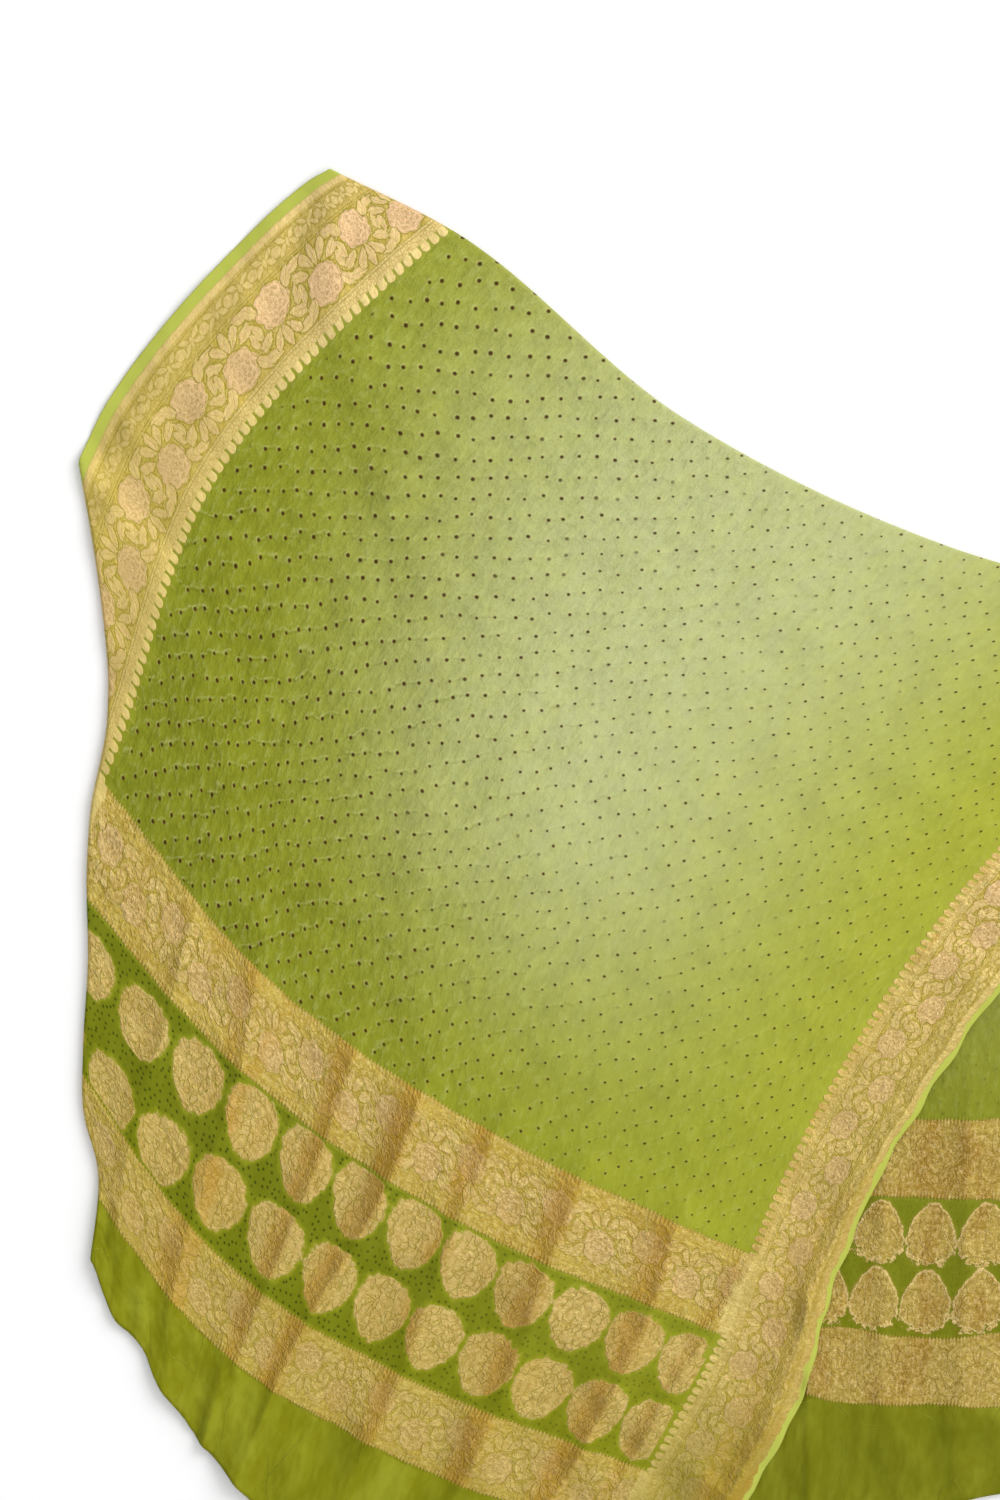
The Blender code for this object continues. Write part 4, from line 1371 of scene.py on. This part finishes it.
def field_finish(finish):
    """Dyed ground with tied dots, their pale crescents and their puckers, and its crepe's painted light
    and shade.
    """
    dot, crescent, trough, ridge, crepe, height = tied_dots(finish)
    clear = finish.climb(finish.from_selvage, *CLEAR_OF_BORDER)
    share = SHOWS_THROUGH if finish.reverse else 1.0
    loose = 1 - finish.climb(finish.across, *CREPE_FADES) * CREPE_LOST
    colour = crepe_painted_light(finish, ground_colour(finish), crepe, loose * CREPE_LIGHT_SHARE, CREPE_HIGHLIGHT)
    # Painted shade in the troughs, and painted highlight on the ridges beside them
    colour = finish.coated(colour, (trough * TROUGH_SHADE_SHARE, CREPE_SHADE), (ridge * RIDGE_HIGHLIGHT_SHARE, CREPE_HIGHLIGHT),
                           (crescent * clear * (CRESCENT_SHARE * share), CRESCENT),
                           (dot * clear * (DOT_SHARE * share), DOT))
    dress(finish, colour, None, height, 0.0)


print(f"the field's dots are clear of the border from {CLEAR_OF_BORDER[0] / MM:.0f} mm off the selvage")

# %% [markdown]
# ## The border
#
# From the selvage inward: a lime green edge, a cream line, a guard band of small leaves, the wide vine
# of roses, a narrow seeded band between two fine lines, and a row of round teeth that bite into the
# field.  Both borders are the same, mirrored, so the distance from the nearer selvage draws them both.
# Along the second border the cloth is drawn up.  The sheet has soft puckers there, and the pattern
# stands a quarter closer, for the puckers that are too fine for the sheet.

# %% Sizes of the border's strips
SELVAGE_WIDTH = 10 * MM
CREAM_WIDTH = 6 * MM
GUARD_MIDDLE = 27.5 * MM
GUARD_EDGE = 39 * MM
VINE_MIDDLE = 66.0 * MM
VINE_EDGE = 93.5 * MM
TOOTH_LENGTH = 8.4 * MM
TEETH_BASE = BORDER_WIDTH - TOOTH_LENGTH
TOOTH_PITCH = 9.4 * MM
DRAWN_UP = 0.24
SEED_CELL = (4.0 * MM, 2.6 * MM)
SEED_LINE = (0.10, 0.16)
SEED_SHARE = 0.50
GUARD_SEED_CELL = (3.4 * MM, 3.0 * MM)
GUARD_SEED_LINE = (0.12, 0.14)
GUARD_SEED_SHARE = 0.30
GUARD_LIGHTER = 0.35
GUARD_FILL_SHARE = 0.85
GUARD_LINE_ASIDE = 0.4 * MM
GUARD_LINE_SHARE = 0.60
GUARD_REPEAT = 24 * MM
GUARD_FLOWER = 4.4 * MM
GUARD_BEND = 2.2 * MM
GUARD_LEAVES = (
    Leaf(-6.4, 2.6, 40, 5.4, 2.3),
    Leaf(6.2, 2.8, -40, 5.4, 2.3),
    Leaf(-6.6, -4.4, -34, 5.0, 2.2),
    Leaf(6.4, -4.6, 34, 5.0, 2.2),
    Leaf(12.0, 0.0, 90, 4.6, 1.6),
    Leaf(-12.0, 0.0, 90, 4.6, 1.6),
)
RULES = (18.5 * MM, 37.5 * MM, 40.0 * MM, 93.5 * MM, 96.0 * MM)
RULE_WIDTH = 0.9 * MM
TOOTH_HALF_WIDTH = 3.9 * MM
TOOTH_EDGE = 0.8 * MM
TOOTH_MOTTLE = Patches(300.0, 300.0, 2.0, 0.5, 0.42, 0.66)
TOOTH_MOTTLE_SHARE = 0.30
TO_TEETH = 2 * MM
FRAY = 19 * MM
FRAYED_IN = 2.6 * MM
RAGGED = 2.2 * MM
RULE_SHARE = 0.75
EDGE_SHARE = 0.62
CREAM_LOST_TO_SHADE = (0.78, 0.16)
GOLD_HEIGHT = 0.24 * MM
EDGE_DEPTH = 0.22 * MM
BORDER_CRINKLE = 1.1
DRAWN_UP_CRINKLE = 1.5
CRACKLE = 0.16
print(f"border of {BORDER_WIDTH / MM:.0f} mm, with teeth from {TEETH_BASE / MM:.1f} mm inward")


# %% The strips of the border
def band_places():
    """The middles and the half widths of band 2 and band 1, measured from the nearer hem."""
    middles = ((PLAIN_END + BAND_2_HEAD) / 2, (BAND_1_FOOT + BAND_1_HEAD) / 2)
    halves = ((BAND_2_HEAD - PLAIN_END) / 2, (BAND_1_HEAD - BAND_1_FOOT) / 2)
    return middles, halves


def rules(finish, inward):
    """A mask of the thin lines that run along the border."""
    mask = finish.line(inward - RULES[0], RULE_WIDTH, 0.9 * MM)
    for place in RULES[1:]:
        mask = finish.larger(mask, finish.line(inward - place, RULE_WIDTH, 0.9 * MM))
    return mask


def guard_band(finish, inward):
    """Colour of the narrow band of little flowers and leaves beside the selvage."""
    tones = gold_tones(finish)
    u = (finish.math("FRACT", finish.along / GUARD_REPEAT) - 0.5) * GUARD_REPEAT
    u = u + finish.noise(190.0, 2.0) * GUARD_BEND
    v = inward - GUARD_MIDDLE + finish.noise(160.0, 2.0) * GUARD_BEND
    motif = finish.reach(u, v) - GUARD_FLOWER
    for shape in GUARD_LEAVES:
        motif = finish.smaller(motif, leaf(finish, u, v, shape)[0])
    seeds = finish.inside(finish.cracks(*GUARD_SEED_CELL) - GUARD_SEED_LINE[0], GUARD_SEED_LINE[1])
    edge = finish.line(motif - GUARD_LINE_ASIDE, 0.9 * MM, 1.0 * MM)
    filled = finish.inside(motif, 1.0 * MM)
    return finish.coated(tones.ground, (GUARD_LIGHTER, tones.leaf),
                         (seeds * GUARD_SEED_SHARE, tones.outline),
                         (filled * GUARD_FILL_SHARE, tones.leaf), (edge * GUARD_LINE_SHARE, tones.outline))


def toothed_edge(finish, inward):
    """Colour of the seeded band that ends the border, and of its teeth."""
    tones = gold_tones(finish)
    seeds = finish.inside(finish.cracks(*SEED_CELL) - SEED_LINE[0], SEED_LINE[1])
    seeded = finish.mix(seeds * SEED_SHARE, tones.leaf, tones.outline)
    tooth = tones.leaf
    if not finish.reverse:
        tooth = finish.mix(finish.patches(TOOTH_MOTTLE) * TOOTH_MOTTLE_SHARE, TOOTH, tones.rose)
    return finish.mix(finish.climb(inward, TEETH_BASE - TO_TEETH, TEETH_BASE + TO_TEETH), seeded, tooth)


middles, halves = band_places()
print("middles of the bands at", [round(middle, 3) for middle in middles], "m from the hem")


# %% Border finish
def border_finish(finish):
    """The border's strips, from the selvage to the tips of the teeth, over the dyed ground.

    `run` is the way along the border, counted faster along the second one, which is drawn up and has
    a frayed edge.  Where a band meets the border, gold fills the gaps between the teeth.
    """
    tones = gold_tones(finish)
    inward = finish.from_selvage
    ragged = finish.noise(170.0, 2.0) * RAGGED
    second_border = finish.past(finish.across, CLOTH_WIDTH / 2)
    run = finish.along * (1 + DRAWN_UP * second_border)
    bite = teeth(finish, run, inward - TEETH_BASE, TOOTH_PITCH, TOOTH_LENGTH, TOOTH_HALF_WIDTH) + ragged
    frayed = finish.noise(30.0, 4.0, 0.65) * FRAY - FRAYED_IN
    selvage = SELVAGE_WIDTH + second_border * frayed
    past_selvage = finish.inside(selvage - inward + ragged * 0.5, 1.6 * MM)
    in_band_2, in_band_1 = [finish.inside(abs(finish.from_hem - middle) - half, 1.5 * MM)
                            for middle, half in zip(*band_places())]
    in_band = in_band_2 + in_band_1
    filled = finish.larger(finish.inside(inward - TEETH_BASE, 0.8 * MM), in_band)
    gold = past_selvage * finish.larger(finish.inside(bite, 1.0 * MM), filled)

    colour, vine_height = brocade(finish, run, inward - VINE_MIDDLE, 1.0, CRACKLE)
    cream = finish.inside(inward - (SELVAGE_WIDTH + CREAM_WIDTH), 1.6 * MM)
    # The cream line gives way where the gold takes painted shade
    cream = cream * finish.climb(finish.shaded_by_paint, *CREAM_LOST_TO_SHADE)
    at_teeth = finish.climb(inward, TEETH_BASE - TO_TEETH, TEETH_BASE)
    edges = finish.line(bite, TOOTH_EDGE, 1.2 * MM) * at_teeth
    edges = finish.larger(edges, rules(finish, inward) * RULE_SHARE) * (1 - in_band * 0.6)
    in_guard = finish.inside(inward - GUARD_EDGE, 0.8 * MM)
    colour = finish.coated(colour, (in_guard, guard_band(finish, inward)), (cream, tones.leaf),
                           (finish.inside(VINE_EDGE - inward, 0.8 * MM), toothed_edge(finish, inward)),
                           (edges * EDGE_SHARE, tones.outline))

    green_edge = finish.inside(inward - SELVAGE_WIDTH - 5 * MM, 1.0 * MM)
    colour = finish.coated(ground_colour(finish), (green_edge, SELVAGE), (gold, colour))
    height = gold * GOLD_HEIGHT + vine_height * finish.inside(inward - VINE_EDGE, 1 * MM)
    height = height - edges * gold * EDGE_DEPTH
    dress(finish, colour, gold, height, BORDER_CRINKLE + second_border * DRAWN_UP_CRINKLE)


# %% [markdown]
# ## The banded end
#
# Two bands cross the loose end, both with the rose vine and with fine ribs on both edges.  Between
# them stand two rows of round flowers called buta, each an egg with its narrow end toward the front
# hem, crushed into a crinkle of petals, with small dots tied between them.

# %% Band finish
RIB_PITCH = 3.4 * MM
RIB_LENGTH = 6.0 * MM
RIB_SWAY = 0.9 * MM
RIB_HEIGHT = 0.12 * MM
RIB_SHARE = 0.46
VINE_START = 0.020
VINE_HEIGHT = 1.7
BAND_HEIGHT = 0.30 * MM
BAND_SCALE = 0.88
BAND_UNEVEN = 3.6 * MM
WRONG_UNEVEN = 16 * MM
BAND_CRACKLE = 0.44
BAND_CRINKLE = 3.4
WRONG_CRINKLE = 1.5
BROWN_PATCHES = Patches(24.0, 9.0, 3.0, 0.6, 0.44, 0.68)
BROWN_SHARE = 0.30
WRONG_BROWN_SHARE = 0.62
FLECKS = Patches(420.0, 130.0, 3.0, 0.6, 0.50, 0.70)
FLECK_SHARE = 0.34


def blotched(finish, colour):
    """The end's gold is browner in uneven patches drawn out along the cloth; its wrong side also has small
    cream flecks.
    """
    brown = finish.patches(BROWN_PATCHES)
    tone = WRONG_SIDE_BROWN if finish.reverse else BROWN_GOLD_AND_SHADE
    colour = finish.mix(brown * (WRONG_BROWN_SHARE if finish.reverse else BROWN_SHARE), colour, tone)
    if not finish.reverse:
        return colour
    return finish.mix(finish.patches(FLECKS) * FLECK_SHARE, colour, PALE_GOLD_AND_HIGHLIGHT)


def band_finish(finish):
    """Both bands, each measured from its own middle line, over the dyed ground."""
    tones = gold_tones(finish)
    inner = finish.past(finish.from_hem, 0.5 * (BAND_2_HEAD + BAND_1_FOOT))
    middles, halves = band_places()
    rise = finish.from_hem - (middles[0] + inner * (middles[1] - middles[0]))
    uneven = finish.noise(38.0, 2.0) * BAND_UNEVEN
    if finish.reverse:
        uneven = uneven + (finish.speckle(11.0, 1.0) - 0.5) * WRONG_UNEVEN
    inset = halves[0] + inner * (halves[1] - halves[0]) - abs(rise) + uneven
    ribs = finish.math("SINE", (finish.across + uneven * 0.4) * (2 * math.pi / RIB_PITCH))
    gold = finish.inside(0.0 - inset - ribs * RIB_SWAY, 1.2 * MM)
    colour, height = brocade(finish, finish.across - VINE_START, rise, BAND_SCALE, BAND_CRACKLE)
    edging = finish.inside(inset - RIB_LENGTH, 3 * MM)
    ribbed = finish.mix((ribs * 0.5 + 0.5) * 0.75, tones.ground, tones.leaf)
    colour = blotched(finish, finish.mix(edging * RIB_SHARE, colour, ribbed))
    colour = finish.mix(gold, ground_colour(finish), colour)
    height = height * VINE_HEIGHT + gold * BAND_HEIGHT + ribs * edging * RIB_HEIGHT
    dress(finish, colour, gold, height, WRONG_CRINKLE if finish.reverse else BAND_CRINKLE)


print(f"bands {2 * halves[0] / MM:.0f} and {2 * halves[1] / MM:.0f} mm wide")

# %% Places and outline of the flowers
BUTA_PITCH = 52.6 * MM
FLOWER_START = -1.19
FLOWER_RATE = 15.95
FLOWER_GROWTH = 2.13
ROWS_LOW = 11 * MM
ROWS_RISE = 16 * MM
ROWS_RISE_ACROSS = (0.16, 0.36)
ROWS_FALL = 8 * MM
ROWS_FALL_ACROSS = (0.50, 0.78)
LOWER_ROW_LOW = 11 * MM
LOWER_ROW_LOW_ACROSS = (0.33, 0.24)
LOWER_ROW_ASIDE = 0.15
LOWER_ROW_ASIDE_ACROSS = (0.44, 0.32)
BUTA_ROWS = (0.180, 0.243)
BUTA_HALF_WIDTH = 25.6 * MM
BUTA_HALF_LENGTH = 27.4 * MM
CRINKLED_LENGTH = 31.0 * MM
TAPER = 0.22
WRONG_TAPER = 0.34
FRAY_OF_EGG = 0.32
FRAY_AT_NARROW_END = 0.7
FRAY_TOWARD_WIDE_END = 1.6


def buta_distance(finish, u, v):
    """Distance from an egg-shaped flower's outline.

    The egg is an ellipse whose width grows in a straight line toward its wide end.  Noise frays its
    edge, and on the wrong side it frays the wide end most, where loose threads hang.  The back
    layer's crinkles shorten the cloth, so its eggs are longer to look as long.
    """
    taper = WRONG_TAPER if finish.reverse else TAPER
    half_length = CRINKLED_LENGTH if finish.reverse else BUTA_HALF_LENGTH
    x = u / ((1 + v * (taper / half_length)) * BUTA_HALF_WIDTH)
    y = v / half_length
    fray = finish.noise(130.0, 3.0, 0.6) * FRAY_OF_EGG
    if finish.reverse:
        fray = fray * (FRAY_AT_NARROW_END + finish.climb(v, 0.0, 24 * MM) * FRAY_TOWARD_WIDE_END)
    return (finish.reach(x, y) + fray - 0.97) * BUTA_HALF_WIDTH


def flower_places(finish):
    """Where a place lies in its flower, u across and v toward the wide end, its column and its row.

    On the wrong side the columns are even.  On the right side the count of columns is a start, plus a
    rate times the way across, plus a growth times its square, so that the flowers stand closer to the
    right.  Soft steps over the cloth move the rows up and down, and the lower row a little sideways.
    """
    upper = finish.past(finish.from_hem, sum(BUTA_ROWS) / 2)
    local = finish.from_hem - (BUTA_ROWS[0] + upper * (BUTA_ROWS[1] - BUTA_ROWS[0]))
    if finish.reverse:
        place = (finish.across - BORDER_WIDTH) / BUTA_PITCH
        rate = 1 / BUTA_PITCH
    else:
        rise = finish.climb(finish.across, *ROWS_RISE_ACROSS) * ROWS_RISE - ROWS_LOW
        rise = rise - (1 - upper) * finish.climb(finish.across, *LOWER_ROW_LOW_ACROSS) * LOWER_ROW_LOW
        local = local - (rise - finish.climb(finish.across, *ROWS_FALL_ACROSS) * ROWS_FALL)
        place = finish.across * (FLOWER_RATE + finish.across * FLOWER_GROWTH) + FLOWER_START
        aside = (1 - upper) * finish.climb(finish.across, *LOWER_ROW_ASIDE_ACROSS) * LOWER_ROW_ASIDE
        place = place + aside
        rate = finish.across * (2 * FLOWER_GROWTH) + FLOWER_RATE
    to_wide = 1 - 2 * finish.past(finish.along, CLOTH_LENGTH / 2)
    column = finish.math("FLOOR", place)
    return (place - column - 0.5) / rate, local * to_wide, column, upper


print("rows of flowers", BUTA_ROWS[0], "and", BUTA_ROWS[1], "m from the hem")

# %% The ground between the flowers
SMALL_DOT_PITCH = 6.3 * MM
SMALL_DOT_RADIUS = 1.0 * MM
SMALL_DOT_JITTER = 0.70
SMALL_DOT = dye(40, 54, 4)
GAP_GREEN = dye(96, 106, 6)
HALO = dye(150, 158, 30)
HALO_SHARE = 0.20
GAP_FADES = (0.40, 0.75)
GAP_LOST = 0.55
GAP_SHARE = 0.56
WRONG_GAP_SHARE = 0.38
SPECK_SHARE = 0.86
WRONG_SPECK_SHARE = 0.10


def between_flowers(finish, outline):
    """Colour of the dyed ground between the flowers, and a mask of the small dots tied in it."""
    u, v, strength = finish.lattice(finish.across / SMALL_DOT_PITCH + finish.noise(18.0),
                                    finish.along / SMALL_DOT_PITCH, SMALL_DOT_JITTER)
    away = finish.inside(2.6 * MM - outline, 3 * MM)
    fading = 1 - finish.climb(finish.across, *GAP_FADES) * GAP_LOST
    specks = finish.inside(finish.reach(u, v) * SMALL_DOT_PITCH - SMALL_DOT_RADIUS, 1.2 * MM)
    specks = specks * away * finish.climb(strength, -0.2, 0.4)
    specks = specks * finish.inside(BORDER_WIDTH + 6 * MM - finish.from_selvage, 1 * MM)
    halo = finish.inside(outline - 3 * MM, 4 * MM) * (0.0 if finish.reverse else HALO_SHARE)
    gap_share = WRONG_GAP_SHARE if finish.reverse else GAP_SHARE
    speck_share = WRONG_SPECK_SHARE if finish.reverse else SPECK_SHARE
    colour = finish.coated(ground_colour(finish), (halo, HALO), (away * fading * gap_share, GAP_GREEN),
                           (specks * fading * speck_share, SMALL_DOT))
    return colour, specks


print(f"small dots {SMALL_DOT_PITCH / MM:.1f} mm apart")

# %% Flower finish
BLOOM_RADIUS = 21 * MM
BLOOM_PETALS = 6
BLOOM_RINGS = 3
BLOOM_BEND = 5 * MM
BLOOM_CELL = (6.8 * MM, 7.8 * MM)
BLOOM_CRACK_BEND = 1.7
FLOWER_CRACKS = Patches(75.0, 75.0, 1.0, 0.5, 0.30, 0.52)
FLOWER_LIGHTS = Patches(150.0, 150.0, 3.0, 0.6, 0.44, 0.62)
NET_SHARE = 0.80
LIGHT_SHARE = 0.85
RIM_SHARE = 0.40
WRONG_RIM_SHARE = 0.75
FLOWER_HEIGHT = 0.36 * MM
FLOWER_LINE_DEPTH = 0.46 * MM
SPECK_DEPTH = 0.3 * MM
FLOWER_CRINKLE = 2.4


def flower_finish(finish):
    """Two rows of round gold flowers on the dyed ground, with small tied dots between them."""
    tones = gold_tones(finish)
    u, v, column, upper = flower_places(finish)
    outline = buta_distance(finish, u, v)
    gold = finish.inside(outline, 1.6 * MM)
    bend = finish.noise(95.0, 2.0) * BLOOM_CRACK_BEND
    cracks = finish.cracks(*BLOOM_CELL, bend + column * 0.37 + upper * 0.5)
    net = finish.inside(cracks - CRACK_SHARE, CRACK_SOFT) * finish.patches(FLOWER_CRACKS)
    petal_lines = rose(finish, u + finish.noise(90.0) * BLOOM_BEND, v, BLOOM_RADIUS,
                       BLOOM_PETALS, BLOOM_RINGS)[1]
    drawn = finish.larger(net * NET_SHARE, petal_lines * LINE_SHARE)
    bright = finish.patches(FLOWER_LIGHTS)
    colour = finish.coated(tones.rose, (0.35, tones.ground), (bright * LIGHT_SHARE, tones.leaf),
                           (drawn * (SHOWS_THROUGH if finish.reverse else 1.0), tones.outline))
    rim = finish.line(outline + 1.2 * MM, 1.2 * MM, 1.8 * MM)
    rim_share = WRONG_RIM_SHARE if finish.reverse else RIM_SHARE
    colour = finish.mix(rim * rim_share, blotched(finish, colour), PALE_GOLD_AND_HIGHLIGHT)
    dyed, specks = between_flowers(finish, outline)
    colour = finish.mix(gold, dyed, colour)
    height = gold * FLOWER_HEIGHT - drawn * gold * FLOWER_LINE_DEPTH - specks * SPECK_DEPTH
    dress(finish, colour, gold, height, WRONG_CRINKLE if finish.reverse else FLOWER_CRINKLE)


# %% Plain end finish
GATHER_DEPTH_AT_END = 6.0 * MM
CREASE_CELL = (46 * MM, 62 * MM)
CREASE_LINE = (0.004, 0.011)
CREASE_HEIGHT = 0.6 * MM
CREASE_HIGHLIGHT_SHARE = 0.42
END_CREPE_LIGHT_SHARE = 0.20
CREASE_PATCHES = Patches(22.0, 22.0, 1.0, 0.5, 0.45, 0.60)


def plain_finish(finish):
    """Undotted ground at the ends, where the thin cloth shows its crepe, gathers and sharp creases.

    A crease is a straight border between the uneven cells of a net.  The folds get painted highlight and
    painted shade, and each crease a painted highlight.
    """
    folds = finish.speckle(18.0, 14.0, 3.0, 0.55)
    net = finish.cracks(*CREASE_CELL, finish.noise(16.0) * 0.5)
    crease = finish.inside(net - CREASE_LINE[0], CREASE_LINE[1])
    crease = crease * finish.patches(CREASE_PATCHES)
    # Painted highlight and painted shade on the folds, and a painted highlight along each crease
    colour = crepe_painted_light(finish, ground_colour(finish), folds, END_CREPE_LIGHT_SHARE, CLOUD_TONE_AND_HIGHLIGHT)
    colour = finish.mix(crease * CREASE_HIGHLIGHT_SHARE, colour, CLOUD_TONE_AND_HIGHLIGHT)
    dress(finish, colour, None, folds * GATHER_DEPTH_AT_END + crease * CREASE_HEIGHT, 0.0)


# %% Give every zone its finish, on the right side and then on the wrong side
MAKERS = {"field": field_finish, "border": border_finish, "band": band_finish,
          "flowers": flower_finish, "plain_end": plain_finish}
for reverse in (False, True):
    for zone in ZONES:
        finish = Finish(f"{zone}_{'wrong' if reverse else 'right'}_side", reverse)
        MAKERS[zone](finish)
        cloth.data.materials.append(finish.material)
        print(finish.material.name, "has", len(finish.nodes), "nodes")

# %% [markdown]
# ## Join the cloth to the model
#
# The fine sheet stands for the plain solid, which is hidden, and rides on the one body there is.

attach(cloth, "root")
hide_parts("bandhani_cloth")

# %% [markdown]
# ## Floor, light and camera
#
# The cloth lies on a plain pale floor under an even white sky, with a large soft lamp high on the upper
# right.  Toward the left the sky is dark, as a black screen stands beside a product table: the gold
# mirrors it from every slope that faces left, and so the pleats show.  The camera looks straight down,
# because the picture shows the cloth face on.

# %% Floor
FLOOR_HALF = 3.0
FLOOR_COLOUR = (0.95, 0.95, 0.95, 1.0)
FLOOR_ROUGHNESS = 0.9
floor_mesh = bpy.data.meshes.new("floor")
floor_mesh.from_pydata([(-FLOOR_HALF, -FLOOR_HALF, 0), (FLOOR_HALF, -FLOOR_HALF, 0),
                        (FLOOR_HALF, FLOOR_HALF, 0), (-FLOOR_HALF, FLOOR_HALF, 0)], [], [(0, 1, 2, 3)])
floor = bpy.data.objects.new("floor", floor_mesh)
bpy.context.scene.collection.objects.link(floor)
paper = bpy.data.materials.new("pale_floor")
paper.use_nodes = True
paper.node_tree.nodes["Principled BSDF"].inputs["Base Color"].default_value = FLOOR_COLOUR
paper.node_tree.nodes["Principled BSDF"].inputs["Roughness"].default_value = FLOOR_ROUGHNESS
floor_mesh.materials.append(paper)
print("floor of", 2 * FLOOR_HALF, "m")

# %% Lights
SKY_STRENGTH = 1.0
DARK_SHARE = 0.06
DARK_FROM = -0.90
BRIGHT_FROM = -0.30
LAMP_PLACE = (2.0, 1.6, 2.6)
LAMP_SIZE = 2.2
LAMP_POWER = 60


def soft_lamp(name, place, size, power):
    """A square area lamp at a place, turned toward the origin."""
    data = bpy.data.lights.new(name, "AREA")
    data.size = size
    data.energy = power
    lamp = bpy.data.objects.new(name, data)
    lamp.location = place
    lamp.rotation_euler = (math.atan2(math.hypot(place[0], place[1]), place[2]), 0,
                           math.atan2(place[0], -place[1]))
    bpy.context.scene.collection.objects.link(lamp)


soft_lamp("key", LAMP_PLACE, LAMP_SIZE, LAMP_POWER)
world = bpy.data.worlds.new("sky")
world.use_nodes = True
sky = NodeTree(world.node_tree)
view = sky.node("ShaderNodeTexCoord")
sideways = Value(sky, sky.node("ShaderNodeSeparateXYZ", {}, {0: view.outputs["Generated"]}).outputs[0])
brightness = sky.climb(sideways, DARK_FROM, BRIGHT_FROM) * (1 - DARK_SHARE) + DARK_SHARE
sky.feed(sky.nodes["Background"].inputs["Color"], (1.0, 1.0, 1.0, 1.0))
sky.feed(sky.nodes["Background"].inputs["Strength"], brightness * SKY_STRENGTH)
bpy.context.scene.world = world
print("the sky falls to", DARK_SHARE, "of its brightness on the left")

# %% Camera
PICTURE_MIDDLE = Point(-0.1716, 0.1415)
PICTURE_HEIGHT = 1.215
LENS = 85.0
SENSOR = 36.0
camera_data = bpy.data.cameras.new("camera")
camera_data.lens = LENS
camera_data.sensor_width = SENSOR
camera = bpy.data.objects.new("camera", camera_data)
camera.location = (PICTURE_MIDDLE.x, PICTURE_MIDDLE.y, PICTURE_HEIGHT * LENS / SENSOR)
bpy.context.scene.collection.objects.link(camera)
bpy.context.scene.camera = camera
bpy.context.scene.view_settings.view_transform = "Standard"
print("camera", tuple(round(value, 3) for value in camera.location))
